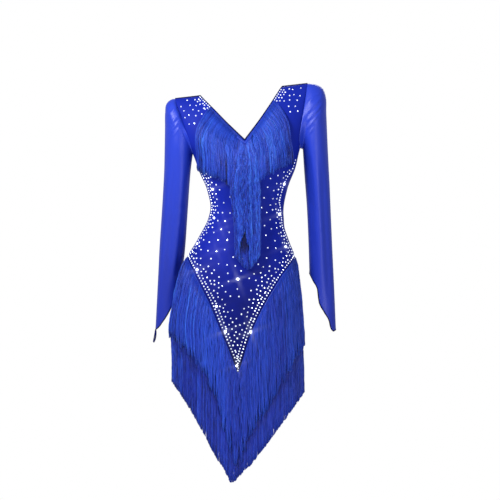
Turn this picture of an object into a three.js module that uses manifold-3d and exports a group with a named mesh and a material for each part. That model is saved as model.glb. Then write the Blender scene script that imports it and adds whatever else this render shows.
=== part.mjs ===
// A long-sleeved stretch dance dress with a plunging V neck, an open back, a deep V yoke on the
// hips and two tiers of hanging fringe, in the hollow shape it takes when it is worn.
//
// Units are millimetres, +Z is up, the front faces -Y. The origin lies midway between the two
// shoulder seams, where the wearer carries the dress. Left and right are the wearer's, so the
// left sleeve is on the +X side.
//
// The dress is cut symmetrically. It is laid out on a level, upright figure by an angle round the
// body and a level on it, and posed() then sways the hips and tilts the shoulders.

import * as THREE from "three";
import Module from "manifold-3d";
import { mergeVertices } from "three/addons/utils/BufferGeometryUtils.js";

const wasm = await Module();
wasm.setup();

// ---------------------------------------------------------------- driving dimensions
const WALL = 1.6; // thickness of the cloth walls
const SEAM_GAP = 0.3; // air between two pieces at a seam
const ROUNDNESS = 2.3; // exponent of the body's oval sections: 2 is an ellipse, more is squarer

const ARMPIT_LEVEL = -160;
const NECK_V_LEVEL = -134;
const BACK_V_LEVEL = -292;
const NECK_HALF_WIDTH = 110; // from the centre to where a shoulder seam starts
const SHOULDER_SIDE_Y = 12; // the shoulder seams lie a little behind the side seams' line

const HALF_COLUMNS = 9; // grid columns from the centre of a panel to its side seam
const BODY_ROWS = 12;
const ARMHOLE_ROWS = 8; // rows between the armpit and the shoulder seam

const SKIRT_ROWS = 4;
const SKIRT_HEM_SIDE = -661;
const SKIRT_HEM_FRONT = -832;
const SKIRT_HEM_BACK = -790;

const CUP_FULLNESS = 9; // how far each bust cup stands out
const CUP_CENTRE = { across: 62, level: -206 };
const CUP_RADIUS = 40;

const FRINGE_LENGTH = 264; // drop of the skirt's upper tier
const TIER_LOCKS = { front: 38, back: 28 }; // locks across each half of a skirt tier
const BUST_LOCKS = 17; // on each side of the neckline
const CENTRE_LOCKS = 11;
const LOCK_FILL = 0.72; // a lock's width as a share of the space it has
const LOCK_DEPTH = 3;
const TAPE_LIFT = 0.9; // from the figure's true surface to the back of a tape on the skirt
const TAPE_DEPTH = 1.4; // thickness of the tape that the fringe is knitted to
const TAPE_HEIGHT = 7;

// The figure that the cloth lies on. half is its half width, front and back are how far it
// reaches before and behind the line of the side seams, and side is where that line lies in Y.
// Above the armpits half runs on past the armhole, and front and back are worked out.
const BODY = [
  { level: 20, half: 206, front: 0, back: 0, side: SHOULDER_SIDE_Y },
  { level: 0, half: 201, front: 0, back: 0, side: SHOULDER_SIDE_Y },
  { level: -40, half: 192, front: 55, back: 60, side: 12 },
  { level: -85, half: 179, front: 80, back: 78, side: 11 },
  { level: -132, half: 160, front: 98, back: 86, side: 10 },
  { level: -160, half: 145, front: 108, back: 88, side: 10 },
  { level: -210, half: 130, front: 114, back: 84, side: 8 },
  { level: -262, half: 109, front: 93, back: 76, side: 5 },
  { level: -315, half: 99, front: 80, back: 72, side: 3 },
  { level: -350, half: 104, front: 81, back: 78, side: 3 },
  { level: -400, half: 124, front: 89, back: 94, side: 4 },
  { level: -450, half: 147, front: 98, back: 110, side: 5 },
  { level: -500, half: 155, front: 104, back: 119, side: 5 },
  { level: -560, half: 164, front: 109, back: 122, side: 5 },
  { level: -640, half: 172, front: 111, back: 121, side: 5 },
  { level: -1100, half: 174, front: 111, back: 121, side: 5 },
];

// How the figure stands: sway moves a level sideways, rise lifts it, and tilt is its slope from
// side to side.
const POSE = [
  { level: 20, sway: -10, rise: 3, tilt: 0.114 },
  { level: 0, sway: -10, rise: 3, tilt: 0.114 },
  { level: -45, sway: -7, rise: 2, tilt: 0.1 },
  { level: -90, sway: -4, rise: 0, tilt: 0.084 },
  { level: -137, sway: 0, rise: 0, tilt: 0.064 },
  { level: -160, sway: 4, rise: 0, tilt: 0.055 },
  { level: -215, sway: 6, rise: 0, tilt: 0.03 },
  { level: -300, sway: 6, rise: 0, tilt: 0 },
  { level: -340, sway: 3, rise: 0, tilt: 0 },
  { level: -372, sway: -2.7, rise: 0, tilt: 0 },
  { level: -405, sway: -6, rise: 0, tilt: 0 },
  { level: -437, sway: -9.5, rise: 0, tilt: 0 },
  { level: -500, sway: -17, rise: 0, tilt: 0 },
  { level: -560, sway: -20, rise: 0, tilt: 0 },
  { level: -640, sway: -23, rise: 0, tilt: 0 },
  { level: -740, sway: -19, rise: 0, tilt: 0 },
  { level: -1100, sway: -18, rise: 0, tilt: 0 },
];

// Where the armhole seam lies on the figure: half the width between the two armholes.
const ARMHOLE = [
  { level: -160, across: 145 },
  { level: -150, across: 145.5 },
  { level: -132, across: 147.5 },
  { level: -85, across: 158 },
  { level: -40, across: 169 },
  { level: 0, across: 179 },
];

// The V seam between the body and the skirt. across is a share of the half width.
const YOKE = [
  { across: 0, front: -758, back: -695 },
  { across: 0.1, front: -708, back: -668 },
  { across: 0.22, front: -652, back: -628 },
  { across: 0.42, front: -578, back: -568 },
  { across: 0.79, front: -486, back: -484 },
  { across: 1, front: -444, back: -444 },
];

// The line on the skirt that the lower tier of fringe is sewn to.
const LOWER_TAPE = [
  { across: 0, front: -797, back: -752 },
  { across: 0.35, front: -716, back: -700 },
  { across: 0.7, front: -632, back: -628 },
  { across: 1, front: -588, back: -588 },
];

// The cut ends of the lower tier, by their place from side to side of the posed dress.
const FRINGE_HEM = [
  { x: -204, front: -772, back: -772 },
  { x: -189, front: -796, back: -796 },
  { x: -127, front: -894, back: -890 },
  { x: -76, front: -991, back: -965 },
  { x: -34, front: -1057, back: -1020 },
  { x: 16, front: -1007, back: -975 },
  { x: 89, front: -910, back: -900 },
  { x: 157, front: -812, back: -812 },
  { x: 168, front: -792, back: -792 },
];

// The sleeve head, from the armhole down to the armpit. The outer points follow the shoulder's
// outline and drop is how far the inner point has gone down the arm from the armpit.
const SLEEVE_HEAD = [
  { leftX: 186, leftZ: 22, rightX: -197, rightZ: -19, drop: 3, depth: 49 },
  { leftX: 199, leftZ: 18.5, rightX: -206, rightZ: -24, drop: 7, depth: 51 },
  { leftX: 211, leftZ: 9.5, rightX: -213, rightZ: -33, drop: 12, depth: 52 },
  { leftX: 218, leftZ: -10, rightX: -216, rightZ: -55, drop: 18, depth: 52 },
  { leftX: 220, leftZ: -55, rightX: -216.5, rightZ: -95, drop: 26, depth: 51 },
  { leftX: 223, leftZ: -130, rightX: -217.5, rightZ: -160, drop: 44, depth: 47.5 },
];

// The sleeve along the arm: its inner and outer edge, half depth and middle in Y for each side.
const SLEEVE = [
  { z: -150, leftIn: 156, leftOut: 223.5, rightIn: -139, rightOut: -216.5, depth: 48, leftY: 16, rightY: 16 },
  { z: -219, leftIn: 160.5, leftOut: 227.5, rightIn: -147.5, rightOut: -219, depth: 45, leftY: 20, rightY: 24 },
  { z: -321, leftIn: 168, leftOut: 232, rightIn: -155, rightOut: -225, depth: 40, leftY: 32, rightY: 42 },
  { z: -425, leftIn: 172.5, leftOut: 236.5, rightIn: -162.5, rightOut: -232, depth: 36, leftY: 44, rightY: 68 },
  { z: -495, leftIn: 174.5, leftOut: 240, rightIn: -171, rightOut: -235.5, depth: 33, leftY: 50, rightY: 86 },
  { z: -560, leftIn: 177, leftOut: 243, rightIn: -177, rightOut: -239, depth: 31, leftY: 54, rightY: 98 },
  { z: -650, leftIn: 183, leftOut: 246.5, rightIn: -186, rightOut: -243.5, depth: 29, leftY: 58, rightY: 106 },
];

// The slanted cuffs: where the edge lies on the inside of the wrist and at the point, and how far
// it bows down between them.
const CUFF = {
  left: { inner: -491, point: -644, bow: 14 },
  right: { inner: -555, point: -642, bow: 7 },
};
const CUFF_ROWS = 9;

// One finger loop hangs from the point of its sleeve and the other is turned up inside it.
const FINGER_LOOP = { width: 10, height: 37, cord: 2.4, sides: 5, steps: 16 };

// ---------------------------------------------------------------- curves through the tables

// A smooth curve through a table's rows that never overshoots between two of them.
function column(rows, key, name, at) {
  const ordered = rows[0][key] <= rows[rows.length - 1][key] ? rows : [...rows].reverse();
  const last = ordered.length - 1;
  if (at <= ordered[0][key]) return ordered[0][name];
  if (at >= ordered[last][key]) return ordered[last][name];
  let i = 0;
  while (ordered[i + 1][key] < at) i++;
  const slope = (k) => (ordered[k + 1][name] - ordered[k][name]) / (ordered[k + 1][key] - ordered[k][key]);
  const tangent = (k) => {
    if (k === 0) return slope(0);
    if (k === last) return slope(last - 1);
    const [a, b] = [slope(k - 1), slope(k)];
    return a * b <= 0 ? 0 : (2 * a * b) / (a + b);
  };
  const width = ordered[i + 1][key] - ordered[i][key];
  const t = (at - ordered[i][key]) / width;
  const [t2, t3] = [t * t, t * t * t];
  return (
    (2 * t3 - 3 * t2 + 1) * ordered[i][name] +
    (t3 - 2 * t2 + t) * width * tangent(i) +
    (3 * t2 - 2 * t3) * ordered[i + 1][name] +
    (t3 - t2) * width * tangent(i + 1)
  );
}

const mix = (a, b, t) => a + (b - a) * t;

// ---------------------------------------------------------------- the figure's surface

function posed(x, y, level) {
  const tilt = column(POSE, "level", "tilt", level);
  const rise = column(POSE, "level", "rise", level);
  return new THREE.Vector3(x + column(POSE, "level", "sway", level), y, level + rise + tilt * x);
}

function halfWidth(level) {
  return column(BODY, "level", "half", level);
}

// How far the figure reaches in front of or behind the side seams. It closes over the shoulders
// as a root of the distance below the shoulder seam, which makes a rounded ridge there.
function reach(level, side) {
  if (level <= ARMPIT_LEVEL) return column(BODY, "level", side, level);
  const below = Math.max(0, level / ARMPIT_LEVEL);
  const power = side === "front" ? 0.5 : 0.34;
  return column(BODY, "level", side, ARMPIT_LEVEL) * Math.pow(below, power);
}

const sine = (angle) => Math.sign(Math.sin(angle)) * Math.pow(Math.abs(Math.sin(angle)), 2 / ROUNDNESS);
const cosine = (angle) => Math.sign(Math.cos(angle)) * Math.pow(Math.abs(Math.cos(angle)), 2 / ROUNDNESS);

function cupAt(x, level) {
  const across = (Math.abs(x) - CUP_CENTRE.across) / CUP_RADIUS;
  const up = (level - CUP_CENTRE.level) / CUP_RADIUS;
  return CUP_FULLNESS * Math.exp(-across * across - up * up);
}

// A point of the figure before it is posed. angle is 0 at the centre front, a quarter turn at the
// wearer's left side and a half turn at the centre back.
function levelPoint(angle, level) {
  const front = Math.cos(angle) >= 0;
  const x = halfWidth(level) * sine(angle);
  const y = column(BODY, "level", "side", level) - reach(level, front ? "front" : "back") * cosine(angle);
  return { x, y: front ? y - cupAt(x, level) * Math.cos(angle) : y };
}

// A point of the posed figure, moved out from it by lift.
function bodyPoint(angle, level, lift = 0) {
  const { x, y } = levelPoint(angle, level);
  const point = posed(x, y, level);
  if (!lift) return point;
  const step = 0.01;
  const before = levelPoint(angle - step, level);
  const after = levelPoint(angle + step, level);
  const out = new THREE.Vector3(after.y - before.y, before.x - after.x, 0).normalize();
  return point.addScaledVector(out, lift);
}

// The angle at which the figure is as wide as across at that level, on the front or the back.
function angleOf(across, level, back = false) {
  const share = Math.min(1, Math.abs(across) / halfWidth(level));
  const angle = Math.asin(Math.pow(share, ROUNDNESS / 2));
  return Math.sign(across || 1) * (back ? Math.PI - angle : angle);
}

function yokeLevel(angle) {
  const side = Math.cos(angle) >= 0 ? "front" : "back";
  return column(YOKE, "across", side, Math.abs(sine(angle)));
}

// ---------------------------------------------------------------- walls of cloth

function meshOf(points, triangles) {
  const geometry = new THREE.BufferGeometry();
  geometry.setAttribute("position", new THREE.Float32BufferAttribute(points.flatMap((p) => [p.x, p.y, p.z]), 3));
  geometry.setIndex(triangles.flat());
  return geometry;
}

// Thickens a sheet inwards. Its triangles face out. A point in locks keeps its thickness at
// right angles to the directions given for it, so that two pieces stay apart along their seam.
function wall(points, triangles, thickness = WALL, locks = new Map()) {
  const normals = points.map(() => new THREE.Vector3());
  const used = new Set();
  for (const [a, b, c] of triangles) {
    const ab = points[b].clone().sub(points[a]);
    const ac = points[c].clone().sub(points[a]);
    const face = ab.cross(ac);
    for (const i of [a, b, c]) normals[i].add(face);
    for (const [from, to] of [[a, b], [b, c], [c, a]]) used.add(`${from},${to}`);
  }
  const inner = points.map((point, i) => {
    const normal = normals[i].normalize();
    for (const lock of locks.get(i) ?? []) normal.addScaledVector(lock, -normal.dot(lock)).normalize();
    return point.clone().addScaledVector(normal, -thickness);
  });
  const count = points.length;
  const closed = [...triangles, ...triangles.map(([a, b, c]) => [a + count, c + count, b + count])];
  for (const edge of used) {
    const [a, b] = edge.split(",").map(Number);
    if (used.has(`${b},${a}`)) continue;
    closed.push([b, a, a + count], [b, a + count, b + count]);
  }
  return meshOf([...points, ...inner], closed);
}

// The triangles of a grid of points, row by row, each cell cut along its shorter diagonal. They
// face out where the columns run from the wearer's right to the left and the rows run up.
function gridTriangles(points, rows) {
  const triangles = [];
  for (let r = 0; r + 1 < rows.length; r++)
    for (let c = 0; c + 1 < rows[r].length; c++) {
      const [a, b, d, e] = [rows[r][c], rows[r][c + 1], rows[r + 1][c], rows[r + 1][c + 1]];
      if (points[a].distanceTo(points[e]) < points[b].distanceTo(points[d])) triangles.push([a, b, e], [a, e, d]);
      else triangles.push([a, b, d], [b, e, d]);
    }
  return triangles;
}

// ---------------------------------------------------------------- front and back of the body

// The seam round an armhole, by a turn that is 0 at the shoulder and a half turn at the armpit.
const armholeLevel = (turn) => mix(ARMPIT_LEVEL, 0, (1 + Math.cos(turn)) / 2);

function armholeAngle(level, back) {
  return angleOf(column(ARMHOLE, "level", "across", level), level, back);
}

// The direction across the plane of an armhole, which its walls' edges are square to.
function armholeDirection(sign) {
  const shoulder = bodyPoint(sign * armholeAngle(0, false), 0);
  const armpit = bodyPoint((sign * Math.PI) / 2, ARMPIT_LEVEL);
  const up = shoulder.sub(armpit);
  return new THREE.Vector3(sign * up.z, 0, -sign * up.x).normalize();
}

// The neckline from the bottom of its V or of the open back up to the shoulder seam.
const NECKLINE = {
  front: new THREE.QuadraticBezierCurve(
    new THREE.Vector2(0, NECK_V_LEVEL),
    new THREE.Vector2(67, -55),
    new THREE.Vector2(NECK_HALF_WIDTH, 0),
  ),
  back: new THREE.CubicBezierCurve(
    new THREE.Vector2(0, BACK_V_LEVEL),
    new THREE.Vector2(72, BACK_V_LEVEL + 4),
    new THREE.Vector2(88, -120),
    new THREE.Vector2(NECK_HALF_WIDTH, 0),
  ),
};

function necklinePoint(side, level) {
  const curve = NECKLINE[side];
  let [low, high] = [0, 1];
  for (let i = 0; i < 30; i++) {
    const middle = (low + high) / 2;
    if (curve.getPoint(middle).y < level) low = middle;
    else high = middle;
  }
  return curve.getPoint((low + high) / 2).x;
}

// A body panel: a lower part right across, and above the bottom of the neckline one part on
// each side of it, which run up to the shoulder seams.
function bodyPanel(side) {
  const back = side === "back";
  const bottom = back ? BACK_V_LEVEL : NECK_V_LEVEL;
  const turnFor = (share) => (back ? Math.PI - (share * Math.PI) / 2 : (share * Math.PI) / 2);
  const points = [];
  const locks = new Map();
  const seam = new THREE.Vector3(0, 1, 0);
  const trimmed = (share) => share * (1 - SEAM_GAP / 2 / halfWidth(ARMPIT_LEVEL));
  const add = (angle, level, directions) => {
    points.push(bodyPoint(angle, level));
    locks.set(points.length - 1, directions);
    return points.length - 1;
  };

  const lower = [];
  for (let r = 0; r <= BODY_ROWS; r++) {
    const row = [];
    for (let c = -HALF_COLUMNS; c <= HALF_COLUMNS; c++) {
      const share = c / HALF_COLUMNS;
      const angle = turnFor(trimmed(share));
      const top = mix(bottom, ARMPIT_LEVEL, Math.abs(share));
      const atSeam = Math.abs(c) === HALF_COLUMNS;
      row.push(add(angle, mix(yokeLevel(angle), top, r / BODY_ROWS), atSeam ? [seam] : []));
    }
    lower.push(back ? row.reverse() : row);
  }
  const triangles = gridTriangles(points, lower);

  for (const sign of [-1, 1]) {
    const direction = armholeDirection(sign);
    const joined = lower[BODY_ROWS].slice();
    if (back) joined.reverse();
    const start = sign < 0 ? joined.slice(0, HALF_COLUMNS + 1).reverse() : joined.slice(HALF_COLUMNS);
    const rows = [start];
    for (let r = 1; r <= ARMHOLE_ROWS; r++) {
      const turn = Math.PI * (1 - r / ARMHOLE_ROWS);
      const outer = armholeLevel(turn);
      const inner = mix(bottom, 0, (1 + Math.cos(turn)) / 2);
      const row = [];
      for (let c = 0; c <= HALF_COLUMNS; c++) {
        const share = c / HALF_COLUMNS;
        const level = mix(inner, outer, share);
        const neckAngle = angleOf(necklinePoint(side, level), level, back);
        const angle = mix(neckAngle, armholeAngle(level, back), share);
        const atShoulder = r === ARMHOLE_ROWS;
        const atArmhole = c === HALF_COLUMNS;
        const index = add(sign * angle, level, [...(atShoulder ? [seam] : []), ...(atArmhole ? [direction] : [])]);
        if (atShoulder) points[index].y += back ? SEAM_GAP / 2 : -SEAM_GAP / 2;
        if (atArmhole) points[index].addScaledVector(direction, -SEAM_GAP / 2);
        row.push(index);
      }
      rows.push(row);
    }
    const facing = (sign > 0) !== back ? rows : rows.map((row) => row.slice().reverse());
    triangles.push(...gridTriangles(points, facing));
  }
  return wall(points, triangles, WALL, locks);
}

// ---------------------------------------------------------------- the skirt under the fringe

// A level that lies the seam's gap below the yoke seam, measured square to that seam.
function underYoke(angle) {
  const step = 0.02;
  const inwards = angle - Math.sign(sine(angle) || 1) * Math.sign(Math.cos(angle)) * step;
  const run = bodyPoint(angle, -600).distanceTo(bodyPoint(inwards, -600));
  const slope = (yokeLevel(angle) - yokeLevel(inwards)) / run;
  return yokeLevel(angle) - 1.5 * SEAM_GAP * Math.sqrt(1 + slope * slope);
}

function skirtHem(angle) {
  const middle = Math.cos(angle) >= 0 ? SKIRT_HEM_FRONT : SKIRT_HEM_BACK;
  return mix(middle, SKIRT_HEM_SIDE, Math.pow(Math.abs(sine(angle)), 1.15));
}

function skirtPanel(back) {
  const points = [];
  const rows = [];
  const locks = new Map();
  const seam = new THREE.Vector3(0, 1, 0);
  for (let r = 0; r <= SKIRT_ROWS; r++) {
    const row = [];
    for (let c = -HALF_COLUMNS; c <= HALF_COLUMNS; c++) {
      const share = (c / HALF_COLUMNS) * (1 - SEAM_GAP / 2 / halfWidth(ARMPIT_LEVEL));
      const angle = back ? Math.PI - (share * Math.PI) / 2 : (share * Math.PI) / 2;
      points.push(bodyPoint(angle, mix(skirtHem(angle), underYoke(angle), r / SKIRT_ROWS)));
      row.push(points.length - 1);
      if (Math.abs(c) === HALF_COLUMNS) locks.set(points.length - 1, [seam]);
    }
    rows.push(back ? row.reverse() : row);
  }
  return wall(points, gridTriangles(points, rows), WALL, locks);
}

// ---------------------------------------------------------------- sleeves

// A point of a sleeve below its head. turn is 0 on the outside of the arm, a quarter turn in
// front and a half turn on the inside.
function sleevePoint(hand, turn, z) {
  const inner = column(SLEEVE, "z", `${hand}In`, z);
  const outer = column(SLEEVE, "z", `${hand}Out`, z);
  const depth = column(SLEEVE, "z", "depth", z);
  const middle = column(SLEEVE, "z", `${hand}Y`, z);
  return new THREE.Vector3(
    mix(inner, outer, (1 + Math.cos(turn)) / 2),
    middle - depth * Math.sin(turn),
    z,
  );
}

function sleeve(hand) {
  const sign = hand === "left" ? 1 : -1;
  const direction = armholeDirection(sign);
  const armpit = bodyPoint((sign * Math.PI) / 2, ARMPIT_LEVEL);
  const around = 2 * ARMHOLE_ROWS;
  const turns = Array.from({ length: around }, (_, i) => (2 * Math.PI * i) / around);
  const rings = [];

  rings.push(
    turns.map((turn) => {
      const back = turn > Math.PI;
      const level = armholeLevel(turn);
      const point = bodyPoint(sign * armholeAngle(level, back), level);
      return point.addScaledVector(direction, SEAM_GAP);
    }),
  );
  for (const section of SLEEVE_HEAD) {
    const outer = new THREE.Vector3(section[`${hand}X`], 0, section[`${hand}Z`]);
    const innerZ = armpit.z - section.drop;
    const inner = new THREE.Vector3(column(SLEEVE, "z", `${hand}In`, innerZ), 0, innerZ);
    rings.push(
      turns.map((turn) => {
        const point = inner.clone().lerp(outer, (1 + Math.cos(turn)) / 2);
        point.y = column(SLEEVE, "z", `${hand}Y`, point.z) - section.depth * Math.sin(turn);
        return point;
      }),
    );
  }
  const head = SLEEVE_HEAD[SLEEVE_HEAD.length - 1];
  const headInner = armpit.z - head.drop;
  for (let r = 1; r <= CUFF_ROWS; r++)
    rings.push(
      turns.map((turn) => {
        const outside = (1 + Math.cos(turn)) / 2;
        const from = mix(headInner, head[`${hand}Z`], outside);
        const bow = CUFF[hand].bow * Math.sin(Math.PI * outside);
        const to = mix(CUFF[hand].inner, CUFF[hand].point, outside) - bow;
        return sleevePoint(hand, turn, mix(from, to, r / CUFF_ROWS));
      }),
    );

  const points = rings.flat();
  const triangles = [];
  const locks = new Map(turns.map((_, i) => [i, [direction]]));
  for (let r = 0; r + 1 < rings.length; r++)
    for (let i = 0; i < around; i++) {
      const next = (i + 1) % around;
      const [a, b] = [r * around + i, r * around + next];
      const [d, e] = [a + around, b + around];
      if (sign > 0) triangles.push([a, d, e], [a, e, b]);
      else triangles.push([a, e, d], [a, b, e]);
    }
  return wall(points, triangles, WALL, locks);
}

// A loop of elastic cord that slips over the middle finger and holds the sleeve's point down.
function fingerLoop(hand) {
  const { width, height, cord, sides, steps } = FINGER_LOOP;
  const turnedUp = hand === "left";
  const point = sleevePoint(hand, 0, CUFF[hand].point);
  const centre = point.clone().add(
    turnedUp
      ? new THREE.Vector3(-WALL - cord / 2 - 2.5, 0, height / 2 - 4)
      : new THREE.Vector3(2, 0, -height / 2 - 2 * SEAM_GAP),
  );
  const sideways = turnedUp ? new THREE.Vector3(0, 1, 0) : new THREE.Vector3(1, 0, 0);
  const through = turnedUp ? new THREE.Vector3(-1, 0, 0) : new THREE.Vector3(0, 1, 0);
  const points = [];
  const triangles = [];
  for (let i = 0; i < steps; i++) {
    const turn = (2 * Math.PI * i) / steps;
    for (let k = 0; k < sides; k++) {
      const roll = (2 * Math.PI * k) / sides;
      const out = (cord / 2) * Math.cos(roll);
      const [across, up] = [(width - cord) / 2 + out, (height - cord) / 2 + out];
      points.push(
        centre
          .clone()
          .addScaledVector(sideways, across * Math.cos(turn))
          .addScaledVector(through, (cord / 2) * Math.sin(roll))
          .add(new THREE.Vector3(0, 0, up * Math.sin(turn))),
      );
      const [a, b] = [i * sides + k, i * sides + ((k + 1) % sides)];
      const next = ((i + 1) % steps) * sides;
      const [d, e] = [next + k, next + ((k + 1) % sides)];
      triangles.push([a, b, e], [a, e, d]);
    }
  }
  return meshOf(points, triangles);
}

// ---------------------------------------------------------------- fringe

// A closed mesh as a manifold-3d solid.
function solidOf(geometry) {
  const merged = mergeVertices(geometry, 1e-4);
  return new wasm.Manifold(
    new wasm.Mesh({
      numProp: 3,
      vertProperties: new Float32Array(merged.attributes.position.array),
      triVerts: new Uint32Array(merged.index.array),
    }),
  );
}

function geometryOf(solid) {
  const mesh = solid.getMesh();
  const geometry = new THREE.BufferGeometry();
  const places = [];
  for (let i = 0; i < mesh.vertProperties.length; i += mesh.numProp)
    places.push(...mesh.vertProperties.slice(i, i + 3));
  geometry.setAttribute("position", new THREE.Float32BufferAttribute(places, 3));
  geometry.setIndex([...mesh.triVerts]);
  return geometry;
}

// A lock of fringe: a three-sided rod through the stations of its path, each given as its two
// corners next to the cloth, the wearer's right one first, and its outer corner.
function lock(stations) {
  const points = stations.flat();
  const triangles = [[0, 2, 1]];
  const last = points.length - 3;
  for (let s = 0; s < last; s += 3)
    for (let k = 0; k < 3; k++) {
      const [a, b] = [s + k, s + ((k + 1) % 3)];
      triangles.push([a, b + 3, a + 3], [a, b, b + 3]);
    }
  triangles.push([last, last + 1, last + 2]);
  return meshOf(points, triangles);
}

function fused(tape, locks) {
  let solid = solidOf(tape);
  for (const one of locks) {
    const part = solidOf(one);
    solid = solid.add(part);
  }
  return geometryOf(solid);
}

// Angles that part the front or the back of the hips into equal lengths of arc.
function evenAngles(count, back, level = -640) {
  const fine = 400;
  const span = (i) => (back ? Math.PI / 2 : -Math.PI / 2) + (Math.PI * i) / fine;
  const sums = [0];
  for (let i = 1; i <= fine; i++)
    sums.push(sums[i - 1] + bodyPoint(span(i), level).distanceTo(bodyPoint(span(i - 1), level)));
  const total = sums[fine];
  const angles = [];
  let i = 0;
  for (let k = 0; k < count; k++) {
    const wanted = ((k + 0.5) / count) * total;
    while (sums[i + 1] < wanted) i++;
    angles.push(span(i + (wanted - sums[i]) / (sums[i + 1] - sums[i])));
  }
  return { angles, pitch: total / count };
}

// A tape sewn along a line on the figure, as deep in level as depthAt says.
function tapeAlong(angles, levelAt, depthAt, lift) {
  const points = [];
  const rows = [[], []];
  angles.forEach((angle) => {
    const top = levelAt(angle);
    [top - depthAt(angle), top].forEach((level, row) => {
      points.push(bodyPoint(angle, level, lift + TAPE_DEPTH));
      rows[row].push(points.length - 1);
    });
  });
  return wall(points, gridTriangles(points, rows), TAPE_DEPTH);
}

// One half of a skirt tier: a tape along its sewing line and locks that lie on the hips and
// then hang straight down to their cut ends.
function skirtTier(back, levelAt, endAt, lifts) {
  const count = TIER_LOCKS[back ? "back" : "front"];
  const { angles, pitch } = evenAngles(count, back);
  const fine = evenAngles(4 * count, back).angles;
  const tapeAngles = [fine[0], ...angles, fine[4 * count - 1]];
  const steepness = (angle) => {
    const step = 0.03;
    const rise = Math.abs(levelAt(angle + step) - levelAt(angle - step));
    return Math.sqrt(1 + Math.pow(rise / bodyPoint(angle + step, -600).distanceTo(bodyPoint(angle - step, -600)), 2));
  };
  const depthAt = (angle) => TAPE_HEIGHT * Math.min(2.2, steepness(angle));
  const tape = tapeAlong(tapeAngles, (angle) => levelAt(angle), depthAt, TAPE_LIFT);
  const locks = angles.map((angle) => {
    const root = levelAt(angle) - depthAt(angle) / 2;
    const end = endAt(angle, root);
    return lock(
      lifts.map(({ share, lift, width }) => {
        const level = mix(root, end, share);
        const along = bodyPoint(angle + 0.01, level).distanceTo(bodyPoint(angle - 0.01, level)) / 0.02;
        const turn = (pitch * LOCK_FILL * width) / 2 / along;
        return [
          bodyPoint(angle - turn, level, lift),
          bodyPoint(angle + turn, level, lift),
          bodyPoint(angle, level, lift + LOCK_DEPTH),
        ];
      }),
    );
  });
  return fused(tape, locks);
}

const UPPER_LIFTS = [
  { share: 0, lift: 2, width: 0.85 },
  { share: 0.13, lift: 7.6, width: 1 },
  { share: 0.5, lift: 10.4, width: 1 },
  { share: 1, lift: 10, width: 0.8 },
];
const LOWER_LIFTS = [
  { share: 0, lift: 2, width: 0.9 },
  { share: 0.22, lift: 2.6, width: 1 },
  { share: 1, lift: 2.2, width: 0.8 },
];

const tapeUnderYoke = (angle) => underYoke(angle) - 1;
const lowerTape = (angle) =>
  column(LOWER_TAPE, "across", Math.cos(angle) >= 0 ? "front" : "back", Math.abs(sine(angle)));
const upperEnd = (angle, root) => root - FRINGE_LENGTH * (1 - 0.16 * Math.abs(sine(angle)));
const lowerEnd = (angle) =>
  column(FRINGE_HEM, "x", Math.cos(angle) >= 0 ? "front" : "back", bodyPoint(angle, -800).x);

// The bust fringe. Its locks leave the tape at right angles to the neckline, fan out over the
// bust and turn down. share runs from the bottom of the V to where the crystals start.
const BUST_TAPE_END = 0.78; // along the neckline curve
const BUST_TAPE_INSET = 2.2; // from the neckline's edge
const BUST_FAN = 1.42; // how much further out a lock ends than it starts
const BUST_LENGTH = 156;
const BUST_APEX_LEVEL = -205;

// A point in front of the chest: on the cloth above the bust's fullest level, and hanging
// straight down below it.
function chestPoint(across, level, lift) {
  const held = Math.max(level, BUST_APEX_LEVEL);
  const point = bodyPoint(angleOf(across, held), held, lift);
  point.z -= held - level;
  return point;
}

function neckTapeEdge(sign, share, inset) {
  const at = NECKLINE.front.getPoint(share * BUST_TAPE_END);
  const along = NECKLINE.front.getTangent(share * BUST_TAPE_END);
  const across = at.x + along.y * inset;
  const level = at.y - along.x * inset;
  return { across: sign * across, level };
}

function bustFringe(sign) {
  const steps = 14;
  const points = [];
  const rows = [[], []];
  for (let i = 0; i <= steps; i++) {
    const share = mix(0.035, 1, i / steps);
    [BUST_TAPE_INSET + TAPE_HEIGHT, BUST_TAPE_INSET].forEach((inset, row) => {
      const { across, level } = neckTapeEdge(sign, share, inset);
      points.push(bodyPoint(angleOf(across, level), level, SEAM_GAP + TAPE_DEPTH + 0.4));
      rows[row].push(points.length - 1);
    });
  }
  const facing = sign > 0 ? rows : rows.map((row) => row.reverse());
  const tape = wall(points, gridTriangles(points, facing), TAPE_DEPTH);
  const locks = [];
  for (let i = 0; i < BUST_LOCKS; i++) {
    const share = mix(0.06, 0.985, (i + 0.5) / BUST_LOCKS);
    const root = neckTapeEdge(sign, share, BUST_TAPE_INSET + TAPE_HEIGHT / 2);
    const endAcross = root.across * BUST_FAN + sign * 3;
    const endLevel = root.level - BUST_LENGTH + 0.1 * Math.abs(root.across);
    const bend = { across: mix(root.across, endAcross, 0.86), level: root.level - 0.34 * BUST_LENGTH };
    const path = new THREE.QuadraticBezierCurve(
      new THREE.Vector2(root.across, root.level),
      new THREE.Vector2(bend.across, bend.level),
      new THREE.Vector2(endAcross, endLevel),
    );
    const width = ((118 * LOCK_FILL) / BUST_LOCKS) * 1.25;
    locks.push(
      lock(
        [0, 0.16, 0.36, 0.6, 0.8, 1].map((t) => {
          const at = path.getPoint(t);
          const along = path.getTangent(t);
          const lift = mix(1, 3.4 + 2.6 * share * share, Math.min(1, t * 4));
          const half = (width / 2) * (t === 0 ? 0.7 : t === 1 ? 0.85 : 1);
          return [
            chestPoint(at.x + along.y * half, at.y - along.x * half, lift),
            chestPoint(at.x - along.y * half, at.y + along.x * half, lift),
            chestPoint(at.x, at.y, lift + LOCK_DEPTH),
          ];
        }),
      ),
    );
  }
  return fused(tape, locks);
}

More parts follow.
